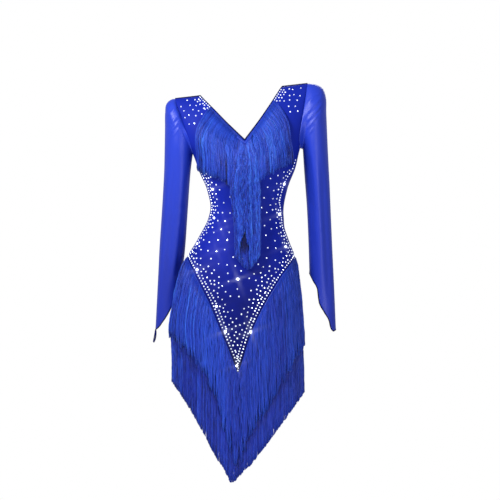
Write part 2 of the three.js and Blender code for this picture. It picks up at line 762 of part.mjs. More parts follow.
// The long fringe at the centre front: a short tape over the bottom of the V, and locks that
// hang free from it in two bundles, which part above their ends and meet again.
const CENTRE_TAPE = { halfWidth: 20, drop: 5, lift: 8 };
const CENTRE_PATH = [
  { t: 0, half: 19, middle: 0, part: 0 },
  { t: 0.17, half: 34, middle: -1, part: 0 },
  { t: 0.38, half: 42, middle: -1, part: 0 },
  { t: 0.72, half: 34, middle: 6, part: 4 },
  { t: 0.84, half: 27, middle: 8, part: 4 },
  { t: 1, half: 20, middle: 9, part: 0 },
];
const CENTRE_END = -478;

function centreFringe() {
  const points = [];
  const rows = [[], []];
  const steps = 6;
  const topAt = (across) => NECK_V_LEVEL - CENTRE_TAPE.drop + Math.abs(across) * 0.9;
  for (let i = -steps; i <= steps; i++) {
    const across = (CENTRE_TAPE.halfWidth * i) / steps;
    [topAt(across) - TAPE_HEIGHT, topAt(across)].forEach((level, row) => {
      points.push(chestPoint(across, level, CENTRE_TAPE.lift + TAPE_DEPTH));
      rows[row].push(points.length - 1);
    });
  }
  const tape = wall(points, gridTriangles(points, rows), TAPE_DEPTH);
  const locks = [];
  for (let i = 0; i < CENTRE_LOCKS; i++) {
    const share = (2 * (i + 0.5)) / CENTRE_LOCKS - 1;
    const root = topAt(share * CENTRE_PATH[0].half) - TAPE_HEIGHT / 2;
    const end = CENTRE_END + 24 * share * share;
    locks.push(
      lock(
        CENTRE_PATH.map(({ t, half, middle, part }) => {
          const across = middle + share * half + Math.sign(share + 0.05) * part;
          const level = mix(root, end, t);
          const lift = CENTRE_TAPE.lift + 0.4 + 2 * Math.min(1, t * 3);
          const width = ((2 * half) / CENTRE_LOCKS) * LOCK_FILL;
          return [
            chestPoint(across - width / 2, level, lift),
            chestPoint(across + width / 2, level, lift),
            chestPoint(across, level, lift + LOCK_DEPTH),
          ];
        }),
      ),
    );
  }
  return fused(tape, locks);
}

// ---------------------------------------------------------------- the dress

const CLOTH = { color: 0x2a35c4, roughness: 0.55, metalness: 0 };
const MESH_CLOTH = { color: 0x3048d0, roughness: 0.6, metalness: 0 };
const FRINGE = { color: 0x2a4fd4, roughness: 0.4, metalness: 0 };

const dress = new THREE.Group();

function place(name, geometry, finish) {
  const mesh = new THREE.Mesh(geometry, new THREE.MeshStandardMaterial(finish));
  mesh.name = name;
  dress.add(mesh);
}

place("front_panel", bodyPanel("front"), CLOTH);
place("back_panel", bodyPanel("back"), CLOTH);
place("skirt_front", skirtPanel(false), CLOTH);
place("skirt_back", skirtPanel(true), CLOTH);
for (const hand of ["left", "right"]) {
  place(`sleeve_${hand}`, sleeve(hand), MESH_CLOTH);
  place(`finger_loop_${hand}`, fingerLoop(hand), CLOTH);
  place(`bust_fringe_${hand}`, bustFringe(hand === "left" ? 1 : -1), FRINGE);
}
place("centre_fringe", centreFringe(), FRINGE);
for (const back of [false, true]) {
  const side = back ? "back" : "front";
  place(`upper_fringe_${side}`, skirtTier(back, tapeUnderYoke, upperEnd, UPPER_LIFTS), FRINGE);
  place(`lower_fringe_${side}`, skirtTier(back, lowerTape, lowerEnd, LOWER_LIFTS), FRINGE);
}

export default dress;
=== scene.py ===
"""A long-sleeved stretch dance dress with a plunging V neck, an open back and hanging fringe.

Shapes are worked out in millimetres in the part's own frame: +Z is up, the front faces -Y and the
wearer's left is at +X. piece() turns them to metres. The dress is laid out on a level, upright
figure by an angle round the body and a level on it, and posed() then sways the hips and tilts the
shoulders.
"""

import bpy
import numpy as np
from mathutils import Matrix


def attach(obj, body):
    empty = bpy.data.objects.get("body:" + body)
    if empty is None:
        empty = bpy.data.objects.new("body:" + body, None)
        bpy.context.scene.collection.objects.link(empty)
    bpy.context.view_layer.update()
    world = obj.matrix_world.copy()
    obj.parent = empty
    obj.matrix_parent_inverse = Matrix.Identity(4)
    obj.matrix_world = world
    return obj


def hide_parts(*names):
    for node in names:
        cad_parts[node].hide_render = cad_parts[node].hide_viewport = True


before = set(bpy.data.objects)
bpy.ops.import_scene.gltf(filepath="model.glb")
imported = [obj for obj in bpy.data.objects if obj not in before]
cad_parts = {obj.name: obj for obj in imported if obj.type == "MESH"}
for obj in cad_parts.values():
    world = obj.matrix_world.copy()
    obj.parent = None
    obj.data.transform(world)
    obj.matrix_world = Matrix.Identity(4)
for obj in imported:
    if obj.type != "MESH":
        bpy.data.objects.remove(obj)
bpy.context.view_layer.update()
chance = np.random.default_rng(29)

MM = 0.001

# ------------------------------------------------------------------ camera
# A long lens level with the middle of the dress, square to its front.
PICTURE_WIDTH = 1.35  # metres across the picture where the lens measures true
TRUE_PLANE = -0.02  # the depth, in Y, at which it does
VIEW_CENTRE = (0.0135, -0.4266)
LENS, SENSOR = 600.0, 36.0

lens_data = bpy.data.cameras.new("studio_camera")
lens_data.lens = LENS
lens_data.sensor_width = SENSOR
lens_data.clip_end = 100
camera = bpy.data.objects.new("studio_camera", lens_data)
camera.location = (VIEW_CENTRE[0], TRUE_PLANE - PICTURE_WIDTH * LENS / SENSOR, VIEW_CENTRE[1])
camera.rotation_euler = (np.pi / 2, 0, 0)
bpy.context.scene.collection.objects.link(camera)
bpy.context.scene.camera = camera

# ------------------------------------------------------------------ named sizes
SEAM_GAP = 0.3  # air between two pieces at a seam
ROUNDNESS = 2.3  # exponent of the body's oval sections
CLOTH = 0.8  # thickness of the jersey and of the sleeves' mesh
MEAN_RADIUS = 150  # turns an angle round the body into millimetres on the flat cloth
SMALL_TURN = 0.01  # the turn, in radians, over which directions on the cloth are measured

ARMPIT_LEVEL = -160
NECK_V_LEVEL = -129
BACK_V_LEVEL = -292
HIP_LEVEL = -600.0
NECK_HALF_WIDTH = 110
SHOULDER_HALF_WIDTH = 179
SHOULDER_SIDE_Y = 12
SKIRT_HEM = {"side": -661, "front": -832, "back": -790}
CUP = {"fullness": 9, "across": 62, "level": -206, "radius": 40}

FRINGE_LENGTH = 264
TAPE_HEIGHT = 7
BUST_TAPE_END = 0.72  # share of the neckline, from the V, that carries fringe
BUST_APEX_LEVEL = -205


def table(columns, *rows):
    """A short table of sizes: one array for each named column."""
    return dict(zip(columns.split(), np.array(rows, float).T))


# The figure: its half width, its reach before and behind the side seams, and their place in Y.
BODY = table(
    "level half front back side",
    (20, 206, 0, 0, 12), (0, 201, 0, 0, 12), (-40, 192, 55, 60, 12), (-85, 179, 80, 78, 11),
    (-132, 160, 98, 86, 10), (-160, 145, 108, 88, 10), (-210, 130, 114, 84, 8),
    (-262, 109, 93, 76, 5), (-315, 99, 80, 72, 3), (-350, 104, 81, 78, 3), (-400, 124, 89, 94, 4),
    (-450, 147, 98, 110, 5), (-500, 155, 104, 119, 5), (-560, 164, 109, 122, 5),
    (-640, 172, 111, 121, 5), (-1100, 174, 111, 121, 5),
)
# How it stands: sway moves a level sideways, rise lifts it and tilt slopes it from side to side.
POSE = table(
    "level sway rise tilt",
    (20, -10, 3, 0.114), (0, -10, 3, 0.114), (-45, -7, 2, 0.1), (-90, -4, 0, 0.084),
    (-137, 0, 0, 0.064), (-160, 4, 0, 0.055), (-215, 6, 0, 0.03), (-300, 6, 0, 0),
    (-340, 3, 0, 0), (-372, -2.7, 0, 0), (-405, -6, 0, 0), (-437, -9.5, 0, 0), (-500, -17, 0, 0),
    (-560, -20, 0, 0), (-640, -23, 0, 0), (-740, -19, 0, 0), (-1100, -18, 0, 0),
)
# Half the width between the armhole seams.
ARMHOLE = table(
    "level across",
    (-160, 145), (-150, 145.5), (-132, 147.5), (-85, 158), (-40, 169), (0, SHOULDER_HALF_WIDTH),
)
# The V seam between the body and the skirt; across is a share of the half width.
YOKE = table(
    "across front back",
    (0, -758, -695), (0.1, -708, -668), (0.22, -652, -628), (0.42, -578, -568),
    (0.79, -486, -484), (1, -444, -444),
)
# The line on the skirt that the lower tier of fringe is sewn to.
LOWER_TAPE = table(
    "across front back",
    (0, -797, -752), (0.35, -716, -700), (0.7, -632, -628), (1, -588, -588),
)
# The cut ends of the lower tier, from side to side of the posed dress.
FRINGE_HEM = table(
    "x front back",
    (-204, -768, -770), (-189, -790, -794), (-127, -894, -890), (-76, -991, -965),
    (-55, -1024, -992), (-34, -1057, -1020), (-8, -1030, -996), (16, -1007, -975),
    (89, -910, -900), (157, -812, -812), (168, -792, -792),
)
# The cut ends of the upper tier's front, from side to side.
UPPER_HEM = table(
    "x front",
    (-196, -664), (-177, -682), (-142, -723), (-108, -770), (-78, -838), (-54, -936),
    (-24, -1012), (4, -944), (57, -860), (135, -724), (160, -680),
)
# The sleeve heads' outline over the shoulder; drop is how far the inner point is down the arm.
SLEEVE_HEAD = table(
    "left_x left_z right_x right_z drop depth",
    (186, 22, -197, -19, 3, 49), (199, 18.5, -206, -24, 7, 51), (211, 9.5, -213, -33, 12, 52),
    (218, -10, -216, -55, 18, 52), (220, -55, -216.5, -95, 26, 51),
    (223, -130, -217.5, -160, 44, 47.5),
)
# The sleeves along the arm: inner and outer edge, half depth, and the arm's middle in Y.
SLEEVE = table(
    "z left_in left_out right_in right_out depth left_y right_y",
    (-150, 156, 223.5, -139, -216.5, 48, 16, 16), (-219, 160.5, 227.5, -147.5, -219, 45, 20, 24),
    (-321, 168, 232, -155, -225, 40, 32, 42), (-425, 172.5, 236.5, -162.5, -232, 36, 44, 68),
    (-495, 174.5, 240, -171, -235.5, 33, 50, 86), (-560, 177, 243, -177, -239, 31, 54, 98),
    (-650, 183, 246.5, -186, -243.5, 29, 58, 106),
)
# The slanted cuffs' edges, from the inside of the wrist to the outside.
CUFF_EDGE = table(
    "outside left right",
    (0, -489, -553), (0.16, -511, -564), (0.32, -532, -577), (0.36, -567, -585),
    (0.55, -594, -609), (0.74, -618, -627), (0.79, -637, -632), (0.88, -645, -638),
    (1, -642, -644),
)


# ------------------------------------------------------------------ curves
def cubic(a, b, leave, arrive, t):
    """A cubic from a to b that leaves and arrives with the given slopes, at a share t."""
    ends = (2 * t**3 - 3 * t**2 + 1) * a + (3 * t**2 - 2 * t**3) * b
    return ends + (t**3 - 2 * t**2 + t) * leave + (t**3 - t**2) * arrive


def curve(rows, key, name, at):
    """A smooth curve through a table: between two rows a cubic whose end slopes are the harmonic
    mean of the slopes on both sides, so that it never overshoots."""
    order = np.argsort(rows[key])
    x, y = rows[key][order], rows[name][order]
    slope = np.diff(y) / np.diff(x)
    before, after = slope[:-1], slope[1:]
    same_way = before * after > 0
    inner = np.where(same_way, 2 * before * after / np.where(same_way, before + after, 1), 0)
    tangent = np.concatenate([slope[:1], inner, slope[-1:]])
    at = np.clip(at, x[0], x[-1])
    i = np.clip(np.searchsorted(x, at, side="right") - 1, 0, len(x) - 2)
    width = x[i + 1] - x[i]
    return cubic(y[i], y[i + 1], width * tangent[i], width * tangent[i + 1], (at - x[i]) / width)


def mix(a, b, t):
    """The value a share t of the way from a to b."""
    return a + (b - a) * t


def ease(t):
    """A soft step from 0 to 1: three t squared less two t cubed, with t held between 0 and 1."""
    t = np.clip(t, 0, 1)
    return t * t * (3 - 2 * t)


def unit(v):
    """Arrows cut to length one."""
    return v / np.maximum(np.linalg.norm(v, axis=-1, keepdims=True), 1e-12)


def far_along(paths):
    """How far along its path each point is."""
    far = np.linalg.norm(np.diff(paths, axis=-2), axis=-1).cumsum(-1)
    return np.concatenate([0 * far[..., :1], far], -1)


def way_round(ring):
    """The way along a closed ring at each of its points."""
    return unit(np.roll(ring, -1, 0) - np.roll(ring, 1, 0))


def bezier(points, t):
    """The place on a curve with three or four control points, by taking the points between them
    again and again until two are left, and the way along it."""
    t, points = np.asarray(t, float)[..., None], list(np.array(points, float))
    while len(points) > 2:
        points = [mix(a, b, t) for a, b in zip(points, points[1:])]
    return mix(*points, t), unit(points[1] - points[0])


# ------------------------------------------------------------------ the figure's surface
def oval(s):
    """A circle's sine or cosine made into that of the body's squarer oval."""
    return np.sign(s) * np.abs(s) ** (2 / ROUNDNESS)


def sine(angle):
    """How far across an angle is on the oval section, as a share of its half width."""
    return oval(np.sin(angle))


def half_width(level):
    """Half the figure's width at a level, from its table."""
    return curve(BODY, "level", "half", level)


def reach(level, side, power):
    """How far the figure reaches before or behind the side seams. Above the armpits it closes over
    the shoulders as a power of the distance below the shoulder seam."""
    below = np.clip(level / ARMPIT_LEVEL, 0, 1)
    shoulder = curve(BODY, "level", side, ARMPIT_LEVEL) * below**power
    return np.where(level <= ARMPIT_LEVEL, curve(BODY, "level", side, level), shoulder)


def posed(x, y, level):
    """A point of the level figure, swayed, lifted and tilted as the dress stands."""
    x, y, level = np.broadcast_arrays(x, y, level)
    sway, rise, tilt = (curve(POSE, "level", name, level) for name in ("sway", "rise", "tilt"))
    return np.stack([x + sway, y, level + rise + tilt * x], -1)


def level_point(angle, level):
    """A point of the figure before it is posed: an oval x = half width times sine, y = side less
    reach times cosine, with a round swelling at each bust cup. angle is 0 at the centre front and
    a quarter turn at the wearer's left side."""
    front = np.cos(angle) >= 0
    x = half_width(level) * sine(angle)
    depth = np.where(front, reach(level, "front", 0.5), reach(level, "back", 0.34))
    y = curve(BODY, "level", "side", level) - depth * oval(np.cos(angle))
    off = ((np.abs(x) - CUP["across"]) / CUP["radius"]) ** 2
    off = off + ((level - CUP["level"]) / CUP["radius"]) ** 2
    return x, y - np.where(front, CUP["fullness"] * np.exp(-off) * np.cos(angle), 0)


def body_point(angle, level, lift=0.0):
    """A point of the posed figure, moved out from it by lift, square to its section."""
    angle, level = np.broadcast_arrays(np.asarray(angle, float), np.asarray(level, float))
    point = posed(*level_point(angle, level), level)
    before_x, before_y = level_point(angle - SMALL_TURN, level)
    after_x, after_y = level_point(angle + SMALL_TURN, level)
    out = unit(np.stack([after_y - before_y, before_x - after_x, np.zeros_like(level)], -1))
    return point + out * np.asarray(lift, float)[..., None]


def angle_of(across, level, back=False):
    """The angle at which the figure is as wide as across: the arc sine of the width's share."""
    share = np.minimum(1, np.abs(across) / half_width(level))
    angle = np.arcsin(share ** (ROUNDNESS / 2))
    return np.where(np.asarray(across) < 0, -1, 1) * (np.pi - angle if back else angle)


def by_side(rows, angle):
    """A level from a table with a front and a back column, by the share of the half width."""
    front, back = (curve(rows, "across", side, np.abs(sine(angle))) for side in ("front", "back"))
    return np.where(np.cos(angle) >= 0, front, back)


def yoke_level(angle):
    """The level of the V seam between the body and the skirt."""
    return by_side(YOKE, angle)


def square_to_yoke(before, after):
    """How much further up the cloth a step square to the V seam goes: the root of one plus the
    square of the seam's slope between two angles."""
    run = np.linalg.norm(body_point(after, HIP_LEVEL) - body_point(before, HIP_LEVEL), axis=-1)
    return np.sqrt(1 + ((yoke_level(after) - yoke_level(before)) / run) ** 2)


def surface_frame(angle, level):
    """At points of the posed figure: the place, the way to the wearer's left along the cloth, the
    way up it and the way out of it, from the differences over a small step both ways."""
    aside = body_point(angle + SMALL_TURN, level) - body_point(angle - SMALL_TURN, level)
    aside = unit(aside)
    up = body_point(angle, level + 1) - body_point(angle, level - 1)
    out = unit(np.cross(aside, up))
    return body_point(angle, level), aside, unit(np.cross(out, aside)), out


# ------------------------------------------------------------------ making meshes
def grid_quads(shape, start=0):
    """The quads of a grid of points that are numbered row by row."""
    index = start + np.arange(shape[0] * shape[1]).reshape(shape[:2])
    corners = [index[:-1, :-1], index[:-1, 1:], index[1:, 1:], index[1:, :-1]]
    return np.stack(corners, -1).reshape(-1, 4)


def joined(grids, cuts):
    """Grids of points as one mesh: equal points of two grids become one. cuts gives each point's
    place on the flat cloth, in millimetres. Returns points, places and quads."""
    starts = np.cumsum([0] + [grid[..., 0].size for grid in grids])
    quads = np.concatenate([grid_quads(grid.shape, start) for grid, start in zip(grids, starts)])
    points = np.concatenate([grid.reshape(-1, 3) for grid in grids])
    places = np.concatenate([cut.reshape(-1, 2) for cut in cuts])
    _, first, back = np.unique(points.round(3), axis=0, return_index=True, return_inverse=True)
    return points[first], places[first], back.reshape(-1)[quads]


def point_normals(points, quads):
    """The way out at each point: the sum of its faces' diagonals crossed, cut to length one."""
    a, b, c, d = (points[quads[:, k]] for k in range(4))
    total = np.zeros_like(points)
    for k in range(4):
        np.add.at(total, quads[:, k], np.cross(c - a, d - b))
    return unit(total)


def open_edges(quads, count):
    """The directed edges of the quads that no other quad shares."""
    edges = np.concatenate([quads[:, [k, (k + 1) % 4]] for k in range(4)])
    return edges[~np.isin(edges @ [count, 1], edges @ [1, count])]


def edge_distance(points, quads):
    """How far each point is from the nearest open edge of the sheet."""
    rim = points[np.unique(open_edges(quads, len(points)))]
    best = np.full(len(points), np.inf)
    for part in np.array_split(rim, max(1, len(rim) // 64)):
        square = (points**2).sum(1)[:, None] + (part**2).sum(1) - 2 * points @ part.T
        best = np.minimum(best, square.min(1))
    return np.sqrt(np.maximum(best, 0))


def two_faced(quads, count):
    """The quads of a sheet, of its second face and of the rim between the two."""
    rim = open_edges(quads, count)
    wall = np.stack([rim[:, 1], rim[:, 0], rim[:, 0] + count, rim[:, 1] + count], -1)
    return np.concatenate([quads, quads[:, ::-1] + count, wall])


def piece(name, points, faces, material, nodes=(), places=None, tones=None, smooth=True):
    """Puts a mesh into the scene in metres, riding on the root body. faces is a list of arrays
    with three or four corners each."""
    corners = np.concatenate([group.reshape(-1) for group in faces]).astype(np.int32)
    sizes = np.concatenate([np.full(len(group), group.shape[1]) for group in faces])
    mesh = bpy.data.meshes.new(name)
    mesh.vertices.add(len(points))
    mesh.vertices.foreach_set("co", (points * MM).astype(np.float32).ravel())
    mesh.loops.add(len(corners))
    mesh.loops.foreach_set("vertex_index", corners)
    mesh.polygons.add(len(sizes))
    mesh.polygons.foreach_set("loop_start", (np.cumsum(sizes) - sizes).astype(np.int32))
    mesh.update(calc_edges=True)
    mesh.polygons.foreach_set("use_smooth", np.full(len(sizes), smooth))
    if places is not None:
        layer = mesh.uv_layers.new(name="cut")
        layer.data.foreach_set("uv", (places * MM).astype(np.float32)[corners].ravel())
    if tones is not None:
        tone = mesh.attributes.new("tone", "FLOAT", "POINT")
        tone.data.foreach_set("value", tones.astype(np.float32))
    mesh.materials.append(material)
    made = bpy.data.objects.new(name, mesh)
    bpy.context.scene.collection.objects.link(made)
    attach(made, "root")
    if nodes:
        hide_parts(*nodes)
    return made


def cloth_piece(name, points, quads, places, material, node):
    """A piece of cloth: a sheet with a second face a cloth's thickness further in."""
    inner = points - point_normals(points, quads) * CLOTH
    points = np.concatenate([points, inner])
    faces = [two_faced(quads, len(inner))]
    return piece(name, points, faces, material, [node], np.concatenate([places, places]))


# ------------------------------------------------------------------ materials
def colour(code):
    """An sRGB hex code as linear red, green, blue and alpha."""
    s = np.array([int(code[i : i + 2], 16) for i in (1, 3, 5)]) / 255
    linear = np.where(s <= 0.04045, s / 12.92, ((s + 0.055) / 1.055) ** 2.4)
    return (*linear.tolist(), 1.0)


def add(tree, kind, inputs=None, **settings):
    """Adds a node, with its settings, and sets its inputs or links them to a socket, or to the
    first socket of a node."""
    made = tree.nodes.new(kind)
    for key, value in settings.items():
        setattr(made, key, value)
    for socket, value in (inputs or {}).items():
        if isinstance(value, bpy.types.Node):
            value = value.outputs[0]
        if isinstance(value, bpy.types.NodeSocket):
            tree.links.new(value, made.inputs[socket])
        else:
            made.inputs[socket].default_value = value
    return made


def new_material(name):
    """A material with an empty node tree, and that tree."""
    made = bpy.data.materials.new(name)
    made.use_nodes = True
    made.node_tree.nodes.clear()
    return made, made.node_tree


def ramp_stops(ramp, stops):
    """Sets a colour ramp's stops from pairs of a position and a colour, in rising order."""
    elements = ramp.color_ramp.elements
    for element, (position, code) in zip(elements, (stops[0], stops[-1])):
        element.position, element.color = position, colour(code)
    for position, code in stops[1:-1]:
        elements.new(position).color = colour(code)


def wave_scale(period):
    """The Wave node's scale for bands that repeat every period metres."""
    return 2 * np.pi / (20 * period)


def knitted(name, heights, gauge, roughness, glint=0.06, sheen=0.02):
    """Knitted cloth: wales and courses crossed as a bump. Its colour follows the height in metres,
    from a list of heights and colours, and drifts slowly by a few centimetres' worth of it. For the
    jersey, the mesh and the binding the list darkens downward, as painted shade."""
    made, tree = new_material(name)
    cut = add(tree, "ShaderNodeUVMap", uv_map="cut")
    place = add(tree, "ShaderNodeTexCoord").outputs["Object"]
    waves = {"Vector": cut, "Scale": wave_scale(gauge)}
    wales = add(tree, "ShaderNodeTexWave", waves).outputs["Fac"]
    waves["Scale"] = wave_scale(gauge * 0.8)
    courses = add(tree, "ShaderNodeTexWave", waves, bands_direction="Y").outputs["Fac"]
    loops = add(tree, "ShaderNodeMath", {0: wales, 1: courses}, operation="MULTIPLY")
    noise = add(tree, "ShaderNodeTexNoise", {"Vector": place, "Scale": 13.0, "Detail": 3.0})
    drift = noise.outputs["Fac"]
    height = add(tree, "ShaderNodeSeparateXYZ", {0: place}).outputs["Z"]
    shift = {0: drift, 1: 0.22, 2: height}
    uneven = add(tree, "ShaderNodeMath", shift, operation="MULTIPLY_ADD")
    bottom, top = heights[0][0], heights[-1][0]
    span = {"Value": uneven, "From Min": bottom + 0.11, "From Max": top + 0.11}
    shade = add(tree, "ShaderNodeValToRGB", {"Fac": add(tree, "ShaderNodeMapRange", span)})
    ramp_stops(shade, [((z - bottom) / (top - bottom), code) for z, code in heights])
    worn = {"Value": drift, "To Min": roughness + 0.06, "To Max": roughness - 0.06}
    relief = {"Height": loops, "Strength": 0.22, "Distance": 0.0004}
    finish = {
        "Base Color": shade,
        "Roughness": add(tree, "ShaderNodeMapRange", worn),
        "Specular IOR Level": glint,
        "Sheen Weight": sheen,
        "Sheen Roughness": 0.4,
        "Sheen Tint": colour("#5a7cff"),
        "Normal": add(tree, "ShaderNodeBump", relief),
    }
    cloth = add(tree, "ShaderNodeBsdfPrincipled", finish)
    add(tree, "ShaderNodeOutputMaterial", {"Surface": cloth})
    return made


# Polyamide and elastane jersey, circular knitted and dyed royal blue: a dense cloth with a soft
# sheen. Its colour is painted darker from the waist down, as painted shade.
# Real wales lie 0.5 mm apart; they are drawn 3 mm apart so that they show.
JERSEY_COLOURS_WITH_PAINTED_SHADE = [(-0.74, "#03083e"), (-0.58, "#0a1466"), (-0.4, "#112090"), (-0.05, "#142594")]
jersey_cloth = knitted("stretch_jersey", JERSEY_COLOURS_WITH_PAINTED_SHADE, gauge=0.003, roughness=0.5)

# Polyamide stretch mesh, warp knitted, a little silkier than the jersey. Its colour is lighter
# than the jersey's, partly its own and partly painted light shining through the sheer net, and is
# painted darker towards the bottom as painted shade. The net's holes are 0.8 mm; they are drawn
# 2.4 mm apart.
MESH_COLOURS_WITH_PAINTED_SHADE = [(-0.66, "#192a98"), (-0.35, "#1c32a6"), (0.02, "#2039b6")]
sleeve_mesh = knitted("stretch_mesh", MESH_COLOURS_WITH_PAINTED_SHADE, 0.0024, 0.4, glint=0.3, sheen=0.1)

# Covered elastic: a round cord with a braided polyester cover.
CORD_SHADES = [(-0.7, "#070d4c"), (-0.6, "#0c1668")]
covered_elastic = knitted("covered_elastic", CORD_SHADES, 0.0016, 0.6)

# The binding is jersey folded over clear elastic, stretched as it is sewn. Its dark navy is partly
# its own colour and partly painted shade: the dark lines of shade along the neck edge, the cuffs and
# the shoulder seams. It is also painted darker towards the bottom.
BINDING_COLOURS_WITH_PAINTED_SHADE = [(-0.3, "#040728"), (0, "#080d44")]
binding_cloth = knitted("stretch_binding", BINDING_COLOURS_WITH_PAINTED_SHADE, 0.002, 0.6, glint=0.05, sheen=0.0)


def rayon_chainette():
    """Crocheted rayon chain: bright yarn with a twisted bump along it. Each strand's tone is its own
    tone with painted shade and painted highlights in it, such as painted shade where it is sewn in,
    and the ramp's darkest stops carry that painted shade. The chain's stitches are 2 mm long, drawn
    3 mm, and lean, so the bands run aslant."""
    made, tree = new_material("rayon_chainette")
    cut = add(tree, "ShaderNodeUVMap", uv_map="cut")
    tone = add(tree, "ShaderNodeAttribute", attribute_name="tone").outputs["Fac"]
    shade = add(tree, "ShaderNodeValToRGB", {"Fac": tone})
    ramp_stops(shade, [(0, "#070d4c"), (0.22, "#132896"), (0.55, "#2148c0"), (1, "#4484ee")])
    waves = {"Vector": cut, "Scale": wave_scale(0.003), "Distortion": 0.4}
    twist = add(tree, "ShaderNodeTexWave", waves, bands_direction="DIAGONAL").outputs["Fac"]
    relief = {"Height": twist, "Strength": 0.35, "Distance": 0.0005}
    gloss = {"Value": twist, "To Min": 0.5, "To Max": 0.36}
    finish = {
        "Base Color": shade,
        "Roughness": add(tree, "ShaderNodeMapRange", gloss),
        "Specular IOR Level": 0.3,
        "Sheen Weight": 0.15,
        "Sheen Roughness": 0.35,
        "Sheen Tint": colour("#7fb0ff"),
        "Normal": add(tree, "ShaderNodeBump", relief),
    }
    yarn = add(tree, "ShaderNodeBsdfPrincipled", finish)
    add(tree, "ShaderNodeOutputMaterial", {"Surface": yarn})
    return made


fringe_yarn = rayon_chainette()


def foiled_glass(name, painted_glow):
    """Cut glass on silver foil: the foil throws back what the facets catch, so it is a bright,
    slightly blue metal under a clear coat, with fine dust on the facets. The glow is painted light:
    an emission, scaled by each stone's tone, that stands for the light that the foil sends straight
    back, which flat facets alone would not."""
    made, tree = new_material(name)
    place = add(tree, "ShaderNodeTexCoord").outputs["Object"]
    noise = add(tree, "ShaderNodeTexNoise", {"Vector": place, "Scale": 900.0, "Detail": 2.0})
    dust = noise.outputs["Fac"]
    tint = add(tree, "ShaderNodeValToRGB", {"Fac": dust})
    ramp_stops(tint, [(0, "#cfe0ff"), (1, "#ffffff")])
    tone = add(tree, "ShaderNodeAttribute", attribute_name="tone").outputs["Fac"]
    film = {"Value": dust, "To Min": 0.04, "To Max": 0.2}
    finish = {
        "Base Color": tint,
        "Metallic": 0.5,
        "Roughness": add(tree, "ShaderNodeMapRange", film),
        "Coat Weight": 0.6,
        "Coat Roughness": 0.03,
        "Emission Color": colour("#eef4ff"),
        "Emission Strength": add(tree, "ShaderNodeMath", {0: tone, 1: painted_glow}, operation="MULTIPLY"),
    }
    glass = add(tree, "ShaderNodeBsdfPrincipled", finish)
    add(tree, "ShaderNodeOutputMaterial", {"Surface": glass})
    return made


# Painted light: both glasses glow, the large stones far brighter than white, so that the star glints
# draw round them.
small_crystal = foiled_glass("foiled_glass", 0.85)
large_crystal = foiled_glass("large_foiled_glass", 7.5)


# ------------------------------------------------------------------ soft creases
def crease(points, path, width, height):
    """A soft ridge, or a trough where height is below 0, along a bent line in the flat view: the
    height times e to the minus square of distance over width, fading over the first and last
    quarter of the line."""
    across, up, path = points[:, 0], points[:, 2], np.array(path, float)
    steps = np.diff(path, axis=0)
    lengths = np.hypot(*steps.T)
    best, share = np.full(across.shape, np.inf), np.zeros(across.shape)
    for (x, z), (dx, dz), length, end in zip(path, steps, lengths, np.cumsum(lengths)):
        t = np.clip(((across - x) * dx + (up - z) * dz) / length**2, 0, 1)
        distance = np.hypot(across - x - t * dx, up - z - t * dz)
        share = np.where(distance < best, (end - length + t * length) / lengths.sum(), share)
        best = np.minimum(best, distance)
    fade = ease(share / 0.25) * ease((1 - share) / 0.25)
    return height * np.exp(-((best / width) ** 2)) * fade


# ------------------------------------------------------------------ front and back of the body
FRONT_NECK = [(0, NECK_V_LEVEL), (67, -55), (NECK_HALF_WIDTH, 0)]
BACK_NECK = [(0, BACK_V_LEVEL), (72, BACK_V_LEVEL + 4), (88, -120), (NECK_HALF_WIDTH, 0)]


def armhole_level(turn):
    """Down the armhole by a turn that is 0 at the shoulder and half a turn at the armpit."""
    return mix(ARMPIT_LEVEL, 0, (1 + np.cos(turn)) / 2)


def armhole_angle(level, back):
    """The angle round the body of an armhole's seam, in front or behind."""
    return angle_of(curve(ARMHOLE, "level", "across", level), level, back)


def armhole_ring(sign, turn):
    """The points, the angles and the levels of an armhole's seam, which goes down in front over
    the first half turn and up behind over the second."""
    level = armhole_level(turn)
    angle = sign * np.where(turn > np.pi, armhole_angle(level, True), armhole_angle(level, False))
    return body_point(angle, level), angle, level


def armhole_direction(sign):
    """The direction across the plane of an armhole."""
    shoulder = body_point(sign * armhole_angle(0.0, False), 0.0)
    armpit = body_point(sign * np.pi / 2, ARMPIT_LEVEL)
    x, _, z = shoulder - armpit
    return unit(np.array([sign * z, 0, -sign * x]))


# The share of a panel's half that its side seam leaves.
TRIM = 1 - SEAM_GAP / 2 / half_width(ARMPIT_LEVEL)
BODY_COLUMNS = 58
BODY_ROWS = 96
SHOULDER_ROWS = 40
SEAM_SPREAD = 2.4  # how far beside a seam its stitches draw the cloth in


